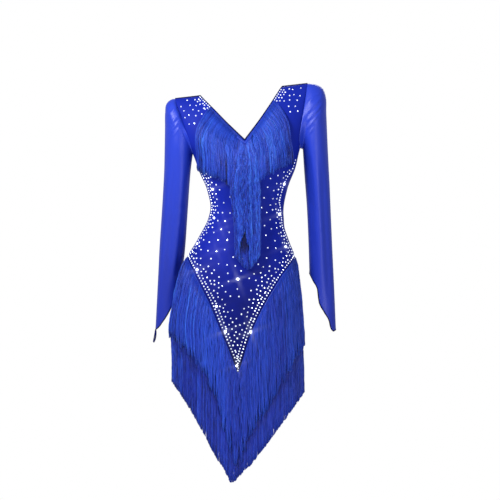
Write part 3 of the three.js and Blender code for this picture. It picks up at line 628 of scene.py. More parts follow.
def body_grids(back):
    """The front or the back as three grids. The lower one runs from the yoke seam to a line from
    the bottom of the neckline to the armpits. Each upper one is ruled, in angle and level, from
    the neckline to the armhole."""
    neck, bend = (BACK_NECK, 2.2) if back else (FRONT_NECK, 1.0)
    share = np.linspace(-1, 1, 2 * BODY_COLUMNS + 1)[None, :]
    turned = share * TRIM * np.pi / 2
    angle = np.pi - turned if back else turned
    top = mix(neck[0][1], ARMPIT_LEVEL, np.abs(share) ** bend)
    level = mix(yoke_level(angle), top, np.linspace(0, 1, BODY_ROWS + 1)[:, None])
    lower = body_point(angle, level)
    grids, cuts = [lower], [np.stack([turned * MEAN_RADIUS + 0 * level, level], -1)]
    s = np.linspace(0, 1, SHOULDER_ROWS + 1)[:, None]
    c = np.linspace(0, 1, BODY_COLUMNS + 1)[None, :]
    inner, inner_level = np.moveaxis(bezier(neck, s)[0], -1, 0)
    outer_level = armhole_level(np.pi * (1 - s))
    level = mix(inner_level, outer_level, c**bend)
    inner_angle = angle_of(inner, inner_level, back)
    for sign in (-1, 1):
        angle = sign * mix(inner_angle, armhole_angle(outer_level, back), c)
        grid = body_point(angle, level)
        grid[1:, -1] -= armhole_direction(sign) * SEAM_GAP / 2
        grid[-1, :, 1] += SEAM_GAP / 2 if back else -SEAM_GAP / 2
        grid[0] = lower[-1, BODY_COLUMNS::sign]
        turned = sign * (np.pi - np.abs(angle) if back else np.abs(angle))
        cut = np.stack([turned * MEAN_RADIUS, level], -1)
        cut[0, :, 0] = sign * c[0] * TRIM * np.pi / 2 * MEAN_RADIUS
        grids.append(grid[:, ::sign])
        cuts.append(cut[:, ::sign])
    way = -1 if back else 1
    return [grid[:, ::way] for grid in grids], [cut[:, ::way] for cut in cuts]


# Where the stretched cloth pulls: from the armpits over the bust, round the waist and at the
# hips. Each is a bent line across and up, its half width and its height.
FRONT_PULLS = [
    ([(-132, -170), (-108, -192), (-80, -204)], 7, -0.7),
    ([(138, -158), (112, -184), (86, -198)], 7, -0.7),
    ([(-96, -296), (-70, -304), (-40, -300)], 6, -0.5),
    ([(104, -292), (78, -303), (52, -299)], 6, -0.6),
    ([(-98, -330), (-66, -336), (-34, -328)], 7, 0.6),
    ([(100, -334), (72, -342), (40, -334)], 7, 0.5),
    ([(-118, -402), (-84, -420), (-46, -424)], 9, -0.6),
    ([(110, -398), (76, -420), (34, -428)], 9, -0.5),
]
BACK_PULLS = [
    ([(-128, -176), (-104, -214), (-92, -250)], 7, -0.8),
    ([(136, -170), (112, -208), (98, -246)], 7, -0.8),
    ([(-92, -318), (-50, -330), (0, -332), (52, -328), (98, -316)], 6, -0.8),
    ([(-96, -344), (-46, -356), (4, -360), (54, -354), (96, -342)], 7, 0.7),
    ([(-112, -380), (-60, -392), (-4, -394), (56, -390), (104, -378)], 8, -0.6),
]


def body_cloth(side):
    """The front or the back, with ridges and troughs along its pulls, drawn in at its seams."""
    points, places, quads = joined(*body_grids(side == "back"))
    relief = sum(crease(points, *pull) for pull in (BACK_PULLS if side == "back" else FRONT_PULLS))
    relief = relief - 0.5 * np.exp(-((edge_distance(points, quads) / SEAM_SPREAD) ** 2))
    points = points + point_normals(points, quads) * relief[:, None]
    name, node = f"{side}_cloth", f"{side}_panel"
    return cloth_piece(name, points, quads, places, jersey_cloth, node)


front_cloth = body_cloth("front")
back_cloth = body_cloth("back")


# ------------------------------------------------------------------ the skirt under the fringe
SKIRT_COLUMNS = 120
SKIRT_ROWS = 40


def under_yoke(angle):
    """A level that lies the seam's gap below the yoke seam, measured square to that seam."""
    inwards = angle - np.where(sine(angle) < 0, -1, 1) * np.sign(np.cos(angle)) * 0.02
    return yoke_level(angle) - 1.5 * SEAM_GAP * square_to_yoke(inwards, angle)


def skirt_hem(angle):
    """The level of the under-skirt's hem, which comes to a point in front and behind."""
    middle = np.where(np.cos(angle) >= 0, SKIRT_HEM["front"], SKIRT_HEM["back"])
    return mix(middle, SKIRT_HEM["side"], np.abs(sine(angle)) ** 1.15)


def skirt_cloth(side):
    """The under-skirt: a grid from its pointed hem up to the yoke seam, with shallow waves that
    grow towards the hem, and a hem band turned twice and stitched."""
    way = -1 if side == "back" else 1
    turned = np.linspace(-1, 1, SKIRT_COLUMNS + 1)[None, :] * TRIM * np.pi / 2
    angle = np.pi - turned if side == "back" else turned
    rise = np.linspace(0, 1, SKIRT_ROWS + 1)[:, None]
    level = mix(skirt_hem(angle), under_yoke(angle), rise)
    wave = 0.9 * np.sin(turned * 11 + 0.7) * (1 - ease(rise / 0.8))
    fold = 0.5 * (1 - ease((rise - 0.05) / 0.02))
    grid = body_point(angle, level, wave + fold - 1.2 * (1 - rise))
    cut = np.stack([turned * MEAN_RADIUS + 0 * level, level], -1)
    points, places, quads = joined([grid[:, ::way]], [cut[:, ::way]])
    name, node = f"skirt_{side}_cloth", f"skirt_{side}"
    return cloth_piece(name, points, quads, places, jersey_cloth, node)


skirt_front_cloth = skirt_cloth("front")
skirt_back_cloth = skirt_cloth("back")


# ------------------------------------------------------------------ sleeves
SLEEVE_COLUMNS = 120
CUFF_ROWS = 9
RING_STEPS = 8
ARM_RADIUS = 42  # turns an angle round the arm into millimetres on the flat cloth
ARM_WIDTH = 66.0  # turns a share of the arm's width into millimetres
FOREARM_LEVEL = -400  # below it, a sleeve's cut edge is its cuff
CUFF_HEM = 7  # how wide the cuff's hem is turned

# Creases of a sleeve in the flat view, with across as a share from the arm's inner edge to its
# outer one: the pulls on the head, then the long soft folds down the arm.
SLEEVE_CREASES = {
    "right": [
        ([(0.5, -30), (0.74, -52), (0.9, -66)], 1.9, 1.9),
        ([(0.3, -40), (0.56, -66), (0.84, -92)], 1.9, 1.9),
        ([(0.34, -62), (0.6, -88), (0.9, -114)], 1.9, 1.7),
        ([(0.42, -92), (0.66, -112), (0.94, -138)], 1.9, 1.5),
        ([(0.3, -51), (0.58, -77), (0.86, -103)], 1.7, -1.4),
        ([(0.38, -77), (0.62, -100), (0.92, -126)], 1.7, -1.2),
        ([(0.6, -130), (0.64, -260), (0.6, -380), (0.66, -560)], 9, -3.4),
        ([(0.28, -150), (0.3, -300), (0.36, -430), (0.3, -560)], 9, 2.6),
        ([(0.86, -200), (0.84, -360), (0.88, -480), (0.84, -610)], 7, 1.8),
        ([(0.18, -330), (0.2, -430), (0.28, -520)], 5, -1.2),
        ([(0.1, -300), (0.4, -318), (0.62, -312)], 6, -0.8),
        ([(0.12, -352), (0.44, -366), (0.7, -356)], 6, 0.7),
    ],
    "left": [
        ([(0.72, -2), (0.44, -14), (0.16, -32)], 1.9, 2.0),
        ([(0.76, -16), (0.44, -36), (0.12, -58)], 1.9, 2.0),
        ([(0.8, -34), (0.46, -58), (0.1, -82)], 1.9, 1.9),
        ([(0.66, -60), (0.36, -84), (0.06, -108)], 1.9, 1.7),
        ([(0.5, -92), (0.3, -108), (0.04, -130)], 1.9, 1.4),
        ([(0.78, -25), (0.45, -47), (0.11, -70)], 1.7, -1.5),
        ([(0.72, -48), (0.4, -71), (0.08, -95)], 1.7, -1.4),
        ([(0.16, -110), (0.2, -240), (0.16, -370), (0.24, -470)], 8, -2.8),
        ([(0.48, -100), (0.46, -290), (0.5, -400), (0.46, -560)], 9, 2.6),
        ([(0.76, -160), (0.74, -330), (0.78, -470), (0.76, -600)], 8, -3.0),
        ([(0.14, -300), (0.42, -322), (0.66, -314)], 6, -0.8),
        ([(0.1, -360), (0.4, -372), (0.68, -360)], 6, 0.7),
    ],
}


def sleeve_edges(hand, z):
    """Where the arm's inner and outer edges are at a height."""
    return curve(SLEEVE, "z", f"{hand}_in", z), curve(SLEEVE, "z", f"{hand}_out", z)


def arm_ring(hand, turn, z, inner, outer, depth):
    """A ring round the arm: across it a half width times the turn's cosine and through it a half
    depth times its sine. turn is 0 outside the arm and a quarter in front."""
    y = curve(SLEEVE, "z", f"{hand}_y", z) - depth * np.sin(turn)
    return np.stack([mix(inner, outer, (1 + np.cos(turn)) / 2), y, z], -1)


def sleeve_rings(hand):
    """The sleeve's own rings: the armhole seam, six over the shoulder's outline, and nine from
    there to the slanted cuff."""
    sign = 1 if hand == "left" else -1
    turn = np.linspace(0, 2 * np.pi, SLEEVE_COLUMNS, endpoint=False)
    outside = (1 + np.cos(turn)) / 2
    armpit_z = body_point(sign * np.pi / 2, ARMPIT_LEVEL)[2]
    rings = [armhole_ring(sign, turn)[0] + armhole_direction(sign) * SEAM_GAP]
    head = [SLEEVE_HEAD[name] for name in (f"{hand}_x", f"{hand}_z", "drop", "depth")]
    for outer, outer_z, drop, depth in zip(*head):
        inner = sleeve_edges(hand, armpit_z - drop)[0]
        start = mix(armpit_z - drop, outer_z, outside)
        rings.append(arm_ring(hand, turn, start, inner, outer, depth))
    end = curve(CUFF_EDGE, "outside", hand, outside)
    for r in range(1, CUFF_ROWS + 1):
        z = mix(start, end, r / CUFF_ROWS)
        depth = curve(SLEEVE, "z", "depth", z)
        rings.append(arm_ring(hand, turn, z, *sleeve_edges(hand, z), depth))
    return np.array(rings)


def lofted(rings, steps):
    """Rows between rings, by a cubic through each column whose slope at a ring is the mean of the
    slopes before and after it, weighted by the other side's length."""
    gap = np.maximum(np.linalg.norm(np.diff(rings, axis=0), axis=-1, keepdims=True), 1e-6)
    slope = np.diff(rings, axis=0) / gap
    middle = (slope[:-1] * gap[1:] + slope[1:] * gap[:-1]) / (gap[1:] + gap[:-1])
    tangent = np.concatenate([slope[:1], middle, slope[-1:]])
    t = np.linspace(0, 1, steps, endpoint=False)[:, None, None]
    rows = []
    for a, b, leave, arrive, run in zip(rings, rings[1:], tangent, tangent[1:], gap):
        rows.append(cubic(a, b, run * leave, run * arrive, t))
    return np.concatenate([*rows, rings[-1:]])


def sleeve_cloth(hand):
    """A sleeve with its creases, which are shallower behind and end at its edges, a stitched hem
    at the cuff and a seam drawn in at the armhole."""
    grid = lofted(sleeve_rings(hand), RING_STEPS)
    grid = np.concatenate([grid, grid[:, :1]], axis=1)
    turn = np.broadcast_to(np.linspace(0, 2 * np.pi, SLEEVE_COLUMNS + 1), grid.shape[:2])
    down = np.linalg.norm(np.diff(grid, axis=0), axis=-1).mean(1).cumsum()
    cut = np.stack([turn * ARM_RADIUS, np.append(0, -down)[:, None] + 0 * turn], -1)
    way = -1 if hand == "left" else 1
    points, places, quads = joined([grid[::-1, ::way]], [cut[::-1, ::way]])
    normals = point_normals(points, quads)
    if (normals * (points - points.mean(0)))[:, :2].sum() < 0:
        quads, normals = quads[:, ::-1], -normals
    inner, outer = sleeve_edges(hand, points[:, 2])
    share = np.clip((points[:, 0] - inner) / (outer - inner), 0, 1)
    flat = np.stack([share * ARM_WIDTH, 0 * share, points[:, 2]], -1)
    relief = np.zeros(len(points))
    for path, width, height in SLEEVE_CREASES[hand]:
        relief += crease(flat, [(across * ARM_WIDTH, z) for across, z in path], width, height)
    relief = relief * ease(np.abs(normals[:, 1]) * 1.6) * np.where(normals[:, 1] > 0, 0.8, 1)
    rim = edge_distance(points, quads)
    hem = 0.45 * (1 - ease((rim - CUFF_HEM) / 1.6))
    hem = hem - 0.35 * np.exp(-((rim - CUFF_HEM - 0.5) ** 2))
    seam = -0.6 * np.exp(-((rim / SEAM_SPREAD) ** 2))
    relief = relief * ease(rim / 12) + np.where(points[:, 2] < FOREARM_LEVEL, hem, seam)
    points = points + normals * relief[:, None]
    name, node = f"sleeve_{hand}_cloth", f"sleeve_{hand}"
    return cloth_piece(name, points, quads, places, sleeve_mesh, node)


sleeve_left_cloth = sleeve_cloth("left")
sleeve_right_cloth = sleeve_cloth("right")


# ------------------------------------------------------------------ rods and bands
def fan(sides):
    """The triangles of a flat polygon seen from behind, all from its first corner."""
    k = np.arange(1, sides - 1)
    return np.stack([0 * k, k + 1, k], -1)


def tube(path, across, width, depth, sides, closed=False):
    """A rod carried along a path: at each station an oval, width along the arrow across and depth
    square to it and to the path. Returns points, faces and places on the flat skin."""
    along = way_round(path) if closed else unit(np.gradient(path, axis=0))
    other = unit(np.cross(along, np.broadcast_to(across, path.shape)))
    across = np.cross(other, along)
    roll = np.linspace(0, 2 * np.pi, sides, endpoint=False)
    ring = across[:, None] * np.cos(roll)[:, None] * width / 2
    ring = ring + other[:, None] * np.sin(roll)[:, None] * depth / 2
    points = (path[:, None] + ring).reshape(-1, 3)
    index = np.arange(len(points)).reshape(-1, sides)
    if closed:
        index = np.concatenate([index, index[:1]])
    turned = np.roll(index, -1, 1)
    faces = [np.stack([index[:-1], turned[:-1], turned[1:], index[1:]], -1).reshape(-1, 4)]
    if not closed:
        ends = [index[0][fan(sides)], index[-1][fan(sides)[:, [0, 2, 1]]]]
        faces.append(np.concatenate(ends))
    skin = np.broadcast_arrays(roll * (width + depth) / 4, far_along(path)[:, None])
    return points, outward_faces(points, faces), np.stack(skin, -1).reshape(-1, 2)


def outward_faces(points, groups):
    """The faces turned round where the volume they close, the sum of their corners' triple
    products, comes out below 0."""
    volume = 0.0
    for group in groups:
        a = points[group[:, 0]]
        for k in range(1, group.shape[1] - 1):
            volume += (a * np.cross(points[group[:, k]], points[group[:, k + 1]])).sum()
    return [group[:, ::-1] for group in groups] if volume < 0 else groups


def gathered(parts):
    """Several meshes of points, face groups and places as one."""
    points, groups, places, start = [], {3: [], 4: []}, [], 0
    for part_points, part_groups, part_places in parts:
        points.append(part_points)
        places.append(part_places)
        for group in part_groups:
            groups[group.shape[1]].append(group + start)
        start += len(part_points)
    faces = [np.concatenate(found) for found in groups.values() if found]
    return np.concatenate(points), faces, np.concatenate(places)


def rod_piece(name, parts, material, nodes=()):
    """One or more rods as a piece."""
    points, faces, places = gathered(parts)
    return piece(name, points, faces, material, nodes, places)


# ------------------------------------------------------------------ binding and finger loops
def neck_binding():
    """A narrow binding folded over the neckline: a flat oval rod along the front V and round the
    open back."""
    steps = np.linspace(0, 1, 90)
    front, back = bezier(FRONT_NECK, steps)[0], bezier(BACK_NECK, steps[::-1])[0]
    halves = []
    for sign in (-1, 1):
        over = body_point(sign * angle_of(*front.T), front[:, 1], -0.4)
        down = body_point(sign * angle_of(*back.T, True), back[:, 1], -0.4)
        halves.append(np.concatenate([over, down[1:]]))
    ring = np.concatenate([halves[1], halves[0][::-1][1:-1]])
    out = (ring - [0, SHOULDER_SIDE_Y, 0]) * [1, 1, 0]
    across = unit(np.cross(way_round(ring), unit(out)))
    rod = tube(ring + across * 0.9, across, 4.4, 2.6, 10, closed=True)
    # The binding cloth's dark colour is partly painted shade along the neck edge.
    return rod_piece("neck_binding", [rod], binding_cloth)


binding = neck_binding()


def seam_allowances():
    """The seams' own turnings behind the cloth: flat rods, an overlock's width across and 1.3 mm
    further in, along the side seams, the shoulder seams, both armholes and the yoke seam. Those
    of the armholes lie against the body's cloth, and turn level under the shoulder seams."""
    width, narrow, thick, inset = 8.0, 5.2, 0.7, 1.3
    parts = []
    for sign in (-1, 1):
        side = body_point(sign * np.pi / 2, np.linspace(-636, ARMPIT_LEVEL - 2, 96), -inset)
        parts.append(tube(side, (0, 1, 0), width, thick, 8))
        across = np.linspace(NECK_HALF_WIDTH + 1, SHOULDER_HALF_WIDTH - 1, 24)
        shoulder = body_point(sign * angle_of(across, 0.0), 0.0) - [0, 0, inset]
        parts.append(tube(shoulder, (0, 1, 0), 5.0, thick, 8))
        ring, angle, level = armhole_ring(sign, np.linspace(0, 2 * np.pi, 80, endpoint=False))
        out = surface_frame(angle, np.minimum(level, -8.0))[3]
        out = unit(mix(out, np.array([0, 0, 1]), ease((level[:, None] + 26) / 24)))
        across = np.cross(way_round(ring), out)
        parts.append(tube(ring - out * inset, across, narrow, thick, 8, closed=True))
    angle = np.linspace(0, 2 * np.pi, 260, endpoint=False)
    seam = body_point(angle, yoke_level(angle) - SEAM_GAP, -inset)
    parts.append(tube(seam, (0, 0, 1), width, thick, 8, closed=True))
    return rod_piece("seam_allowances", parts, jersey_cloth)


allowances = seam_allowances()


def cuff_binding(hand):
    """A narrow binding round a cuff: a flat oval rod over the sleeve's cut edge."""
    ring = sleeve_rings(hand)[-1]
    out = (ring - ring.mean(0)) * [1, 1, 0]
    across = unit(np.cross(way_round(ring), unit(out)))
    rod = tube(ring - across * 0.6, across, 3.0, 2.0, 8, closed=True)
    # The binding cloth's dark colour is partly painted shade along the cuff's edge.
    return rod_piece(f"cuff_binding_{hand}", [rod], binding_cloth)


bound_cuffs = {hand: cuff_binding(hand) for hand in ("left", "right")}


def shoulder_seams():
    """The ridge of each shoulder seam: a thin round rod of folded cloth from neck to armhole."""
    parts = []
    for sign in (-1, 1):
        across = np.linspace(NECK_HALF_WIDTH, SHOULDER_HALF_WIDTH, 30)
        path = body_point(sign * angle_of(across, 0.0), 0.0) + [0, 0, 0.5]
        parts.append(tube(path, (0, 1, 0), 3.0, 2.6, 8))
    # The binding cloth's dark colour is partly painted shade along the shoulder line.
    return rod_piece("shoulder_seams", parts, binding_cloth)


ridges = shoulder_seams()

LOOP_WIDTH, LOOP_HEIGHT, LOOP_CORD = 10, 37, 3.4
# A finger loop's place: the level at which it is sewn in, where its middle lies from there, the
# way its width goes, the share of the width that shows, and how far it bows. The left one is
# turned up over the cuff and the right one hangs.
FINGER_LOOPS = {
    "left": (-644, (-5.8, 0, 14.5), (0, 1, 0), 1, 0),
    "right": (-642, (0.5, 0, -17.5), (1, 0, 0), 0.52, 6),
}


def finger_loop(hand):
    """A loop of round elastic: an oval path, nearly closed by its own weight, with its ends sewn
    inside the cuff's point."""
    z, shift, sideways, wide, bow = FINGER_LOOPS[hand]
    point = np.array([sleeve_edges(hand, z)[1], curve(SLEEVE, "z", f"{hand}_y", z), z])
    t = np.linspace(0, 2 * np.pi, 64, endpoint=False)
    wide = wide * (LOOP_WIDTH - LOOP_CORD) / 2 * np.cos(t) * (1 - 0.35 * np.sin(t))
    path = point + shift + wide[:, None] * sideways
    path[:, 2] += (LOOP_HEIGHT - LOOP_CORD) / 2 * np.sin(t)
    path[:, 0] -= bow * ((z - path[:, 2]) / LOOP_HEIGHT) ** 2
    rod = tube(path, np.cross(sideways, (0, 0, 1)), LOOP_CORD, LOOP_CORD, 10, closed=True)
    name, node = f"finger_loop_{hand}_cord", f"finger_loop_{hand}"
    return rod_piece(name, [rod], covered_elastic, [node])


loops = {hand: finger_loop(hand) for hand in ("left", "right")}


# ------------------------------------------------------------------ strands of fringe
STRAND_STATIONS = 11
STRAND_WIDTH = 1.6  # a chainette strand, across
STRAND_SIDES = 3
TAPE_TONE = 0.3


def strands(paths, out, thinnest=0.8):
    """Three-sided rods along many paths at once, each a strand's width times a share of its own.
    At each station the corners lie a third of a turn apart round the path, rolled by the strand's
    own angle and turning slowly along it."""
    count, stations = paths.shape[:2]
    widths = chance.uniform(thinnest, thinnest + 0.35, count) * STRAND_WIDTH
    along = unit(np.gradient(paths, axis=1))
    aside = unit(np.cross(along, out))
    outside = np.cross(aside, along)
    roll = chance.uniform(0, 2 * np.pi, (count, 1, 1)) + np.linspace(0, 2.2, stations)[:, None]
    corner = roll + np.arange(STRAND_SIDES) * 2 * np.pi / STRAND_SIDES
    taper = np.ones(stations)
    taper[0], taper[-1] = 0.7, 0.8
    radius = (widths[:, None] * taper / 2)[:, :, None, None]
    ring = aside[:, :, None] * np.cos(corner)[..., None]
    ring = ring + outside[:, :, None] * np.sin(corner)[..., None]
    points = (paths[:, :, None] + ring * radius).reshape(-1, 3)
    index = np.arange(len(points)).reshape(count, stations, STRAND_SIDES)
    turned = np.roll(index, -1, 2)
    quads = np.stack([index[:, :-1], turned[:, :-1], turned[:, 1:], index[:, 1:]], -1)
    ends = np.concatenate([index[:, 0, ::-1], index[:, -1]])
    skin = np.broadcast_arrays(np.arange(STRAND_SIDES) * 1.5, far_along(paths)[:, :, None])
    faces = outward_faces(points, [quads.reshape(-1, 4), ends])
    return points, faces, np.stack(skin, -1).reshape(-1, 2)


def tape(top, bottom, out, depth=1.2):
    """The heading that strands are knitted to: a band between two lines, as thick as depth."""
    grid = np.stack([mix(bottom, top, share) for share in (0, 0.33, 0.67, 1)])
    swell = np.array([0.3, 1, 1, 0.3])[:, None, None] * depth
    points = np.concatenate([(grid + out * swell).reshape(-1, 3), grid.reshape(-1, 3)])
    faces = two_faced(grid_quads(grid.shape), len(points) // 2)
    skin = np.stack(np.broadcast_arrays(far_along(top), np.arange(4)[:, None] * 2.0), -1)
    return points, outward_faces(points, [faces]), np.concatenate([skin.reshape(-1, 2)] * 2)


def strand_tones(groups, stations, middle, spread, end_shade=0.0, calm=1.0, drift=0.5, broad=1.0):
    """Each strand's tone round a middle one, mostly shared with its lock, with painted shade and
    painted highlights in it: every other lock is painted darker, as painted shade for a lock that
    lies deeper, by as much as broad says; the tone drifts along its length as painted highlights
    where the chain turns; painted shade darkens the root, where it is sewn in, and, by the end shade
    given, the cut end; and it is calmer at the root where calm is under one."""
    count, locks = len(groups), groups.max() + 1
    # Painted shade: every other lock is darker, as a lock lying deeper is in shade; the rest is
    # random.
    lock = 0.45 * (np.arange(locks) % 2 * 2 - 1) + chance.normal(0, 0.65, locks)
    slow = chance.normal(0, 0.7, locks // 6 + 2)
    lock = broad * (lock + np.interp(np.arange(locks) / 6, np.arange(len(slow)), slow))
    t = np.linspace(0, 1, stations)
    own = (lock[groups] + chance.normal(0, 0.5, count))[:, None] * mix(calm, 1, ease(t / 0.7))
    # Painted highlights and shade along the strand, as the turning chain catches the light.
    turning = chance.normal(0, drift, (count, stations))
    turning = (turning + np.roll(turning, 1, 1)) / 2
    # Painted shade: darker at the root where it is sewn in, and towards the cut end.
    along = (1 - 0.25 * (1 - ease(t / 0.06))) * (1 - end_shade * ease((t - 0.3) / 0.6))
    return np.clip((middle + spread * (own + turning)) * along, 0, 1)


def fringe_piece(name, node, rods, tones, band):
    """A strip of fringe: its strands in their own tones and the tape that they hang from."""
    points, faces, places = gathered([rods, band])
    tones = tones.repeat(STRAND_SIDES)
    tones = np.concatenate([tones, np.full(len(points) - len(tones), TAPE_TONE)])
    return piece(name, points, faces, fringe_yarn, [node], places, tones)


# ------------------------------------------------------------------ the skirt's two tiers
TIER_LEVEL = -640.0  # where a tier's strands are spaced evenly round the hips
UPPER_TIPS = -700.0  # where the place across of an upper strand's cut end is read
LOWER_TIPS = -800.0  # and of a lower one's


def even_angle(share, back):
    """The angle that a share of the front's or the back's arc over the hips comes to."""
    fine = np.linspace(-np.pi / 2, np.pi / 2, 401) + (np.pi if back else 0)
    far = far_along(body_point(fine, TIER_LEVEL))
    return np.interp(share, far / far[-1], fine)


def tape_under_yoke(angle):
    """The level of the upper tier's tape: a millimetre below the skirt's top edge."""
    return under_yoke(angle) - 1


def lower_tape(angle):
    """The level of the lower tier's tape, from its table."""
    return by_side(LOWER_TAPE, angle)


def upper_end(angle, root):
    """Where the upper tier is cut: by its table in front, and by the strands' length behind."""
    x = body_point(angle, UPPER_TIPS)[..., 0]
    behind = root - FRINGE_LENGTH * (1 - 0.16 * np.abs(sine(angle)))
    return np.where(np.cos(angle) >= 0, curve(UPPER_HEM, "x", "front", x), behind)


def lower_end(angle, root):
    """Where the lower tier is cut, whatever the height of its root."""
    x = body_point(angle, LOWER_TIPS)[..., 0]
    front, back = (curve(FRINGE_HEM, "x", side, x) for side in ("front", "back"))
    return np.where(np.cos(angle) >= 0, front, back)


# A tier: its tape's level, its ends' level, how far its strands stand out along their drop, how
# deep it is, how ragged its ends are, how far its clumps draw together, its tone, which is set
# below the bust's, and the lower tier's below the upper's, as painted shade, how much lighter its
# tips are painted, as painted highlight, and how much of its tone the upper tier's painted shade
# takes away.
TIERS = {
    "upper": {
        "tape": tape_under_yoke,
        "end": upper_end,
        "lift": table("share lift", (0, 2), (0.13, 4.8), (0.5, 7.8), (1, 7.2)),
        "layer": 2.4, "ragged": 6.0, "pull": 0.6, "tone": 0.36, "tip_highlight": 0.06, "shaded": 0.0,
    },
    "lower": {
        "tape": lower_tape,
        "end": lower_end,
        "lift": table("share lift", (0, 1.6), (0.22, 3.2), (1, 4.6)),
        "layer": 1.4, "ragged": 1.8, "pull": 0.3, "tone": 0.27, "tip_highlight": 0.0, "shaded": 0.36,
    },
}


def skirt_tier(tier, side, count, clumps):
    """One half of a tier. A strand keeps its angle round the hips from the tape to its cut end,
    leans towards the middle of its clump as it falls, and wanders in and out in slow waves. The
    clumps get fainter towards one side, and strands under the upper tier's ends lie in shade."""
    settings, back = TIERS[tier], side == "back"
    ragged, tone, tape_at = settings["ragged"], settings["tone"], settings["tape"]
    share = (np.arange(count) + chance.uniform(0, 1, count)) / count
    share = share - 0.3 * np.sin(2 * np.pi * (share - 0.47)) / (2 * np.pi)
    share = (share - share.min()) / np.ptp(share)
    group = np.clip((share + chance.normal(0, 0.0015, count)) * clumps, 0, clumps - 0.001)
    group = group.astype(int)
    centre = (np.arange(clumps) + 0.5 + chance.normal(0, 0.2, clumps)) / clumps
    pull = chance.uniform(0.05, settings["pull"], clumps)
    t = np.linspace(0, 1, STRAND_STATIONS)[None, :]
    lean = (np.clip(centre, 0.002, 0.998)[group] - share) * pull[group]
    shares = np.clip(share[:, None] + lean[:, None] * ease((t - 0.05) / 0.8), 0.001, 0.999)
    angle = even_angle(shares, back)
    root = tape_at(even_angle(share, back)) - chance.uniform(1, TAPE_HEIGHT - 1, count)
    short = np.abs(chance.normal(0, 1.1, clumps))[group] + np.abs(chance.normal(0, 0.4, count))
    short = short * ragged * (1 + ragged / 6 * sine(angle[:, -1]) ** 2)
    end = settings["end"](angle[:, -1], root) + 4.0 + short
    level = root[:, None] + (end - root)[:, None] * t
    stand = curve(settings["lift"], "share", "lift", t)
    stand = stand + chance.uniform(-1, 1, (count, 1)) * settings["layer"] * ease(t / 0.15)
    wave = chance.uniform(0, 2 * np.pi, (2, clumps, 1))[:, group]
    wave = wave + chance.normal(0, 3 / ragged, (2, count, 1))
    turns = chance.uniform(1.6, 4.2, (2, clumps, 1))[:, group]
    rough = 1 + 1.1 * (1 - ease((t - 0.2) / 0.5)) + 0.5 * ragged / 6 * ease((t - 0.6) / 0.3)
    swing, inout = 0.8 * rough * ease(t / 0.1) * np.sin(wave + turns * 2 * np.pi * t)
    tip = chance.normal(0, ragged / 5, (2, clumps, 1))[:, group] * ease((t - 0.75) / 0.25)
    angle = angle + (swing + 1.5 * tip[0]) / MEAN_RADIUS
    paths = body_point(angle, level, stand + inout + np.abs(tip[1]))
    rods = strands(paths, unit(paths - body_point(angle, level) + 1e-9))
    line = even_angle(np.linspace(0.0008, 0.9992, 160), back)
    top_line = body_point(line, tape_at(line), 0.5)
    low_line = body_point(line, tape_at(line) - 2.0 * TAPE_HEIGHT, 0.5)
    band = tape(top_line, low_line, unit(top_line - body_point(line, tape_at(line))))
    tones = strand_tones(group, STRAND_STATIONS, tone, 0.12, broad=0.75)
    tones = mix(tone, tones, (1.25 - 0.65 * ease(share / 0.6))[:, None])
    # Painted highlight on the cut tips, and painted shade under the upper tier's ends.
    tones = tones + settings["tip_highlight"] * ease((t - 0.85) / 0.15)
    below = upper_end(angle, tape_under_yoke(angle)) - level
    tones = np.clip(tones * (1 - settings["shaded"] * (1 - ease(below / 24))), 0, 1)
    return fringe_piece(f"{tier}_{side}_strands", f"{tier}_fringe_{side}", rods, tones, band)


upper_front = skirt_tier("upper", "front", count=2400, clumps=118)
upper_back = skirt_tier("upper", "back", count=1600, clumps=96)
lower_front = skirt_tier("lower", "front", count=2000, clumps=118)
lower_back = skirt_tier("lower", "back", count=1400, clumps=94)


# ------------------------------------------------------------------ bust and centre fringe
CHEST_OUT = np.array([0.0, -1.0, 0.0])
TAPE_LIFT = 0.5
BUST_STRANDS = 460
BUST_CLUMPS = 38
BUST_STATIONS = STRAND_STATIONS + 2
BUST_INSET = 2.2  # from the neckline to the tape of the bust fringe
# Where the bust strands end: how far down, by how far across, on each side.
BUST_ENDS = table(
    "across right left",
    (0, -268, -262), (30, -258, -244), (50, -245, -224), (75, -227, -209), (110, -214, -197),
    (128, -202, -191), (140, -192, -186),
)
# How far across they hang, by how far across they are sewn on.
BUST_FAN = table(
    "across right left", (0, 3, 3), (25, 38, 36), (45, 69, 65), (65, 98, 92), (84, 127, 119),
)


def chest_point(across, level, lift):
    """A point before the chest: on the cloth above the bust's fullest level, and straight below
    it from there down."""
    held = np.maximum(level, BUST_APEX_LEVEL)
    point = body_point(angle_of(across, held), held, lift)
    point[..., 2] -= held - level
    return point


def beside_neck(neck, share, inset):
    """How far across and how far up points are that lie an inset beside a neckline."""
    at, along = bezier(neck, share)
    return at[..., 0] + along[..., 1] * inset, at[..., 1] - along[..., 0] * inset


def random_waves(count, slowest, fastest, t):
    """Two waves along each of many strands, for its wander across and out: the sine of a random
    phase plus a random number of turns times the share t."""
    phase = chance.uniform(0, 2 * np.pi, (2, count, 1))
    return np.sin(phase + chance.uniform(slowest, fastest, (2, count, 1)) * 2 * np.pi * t)


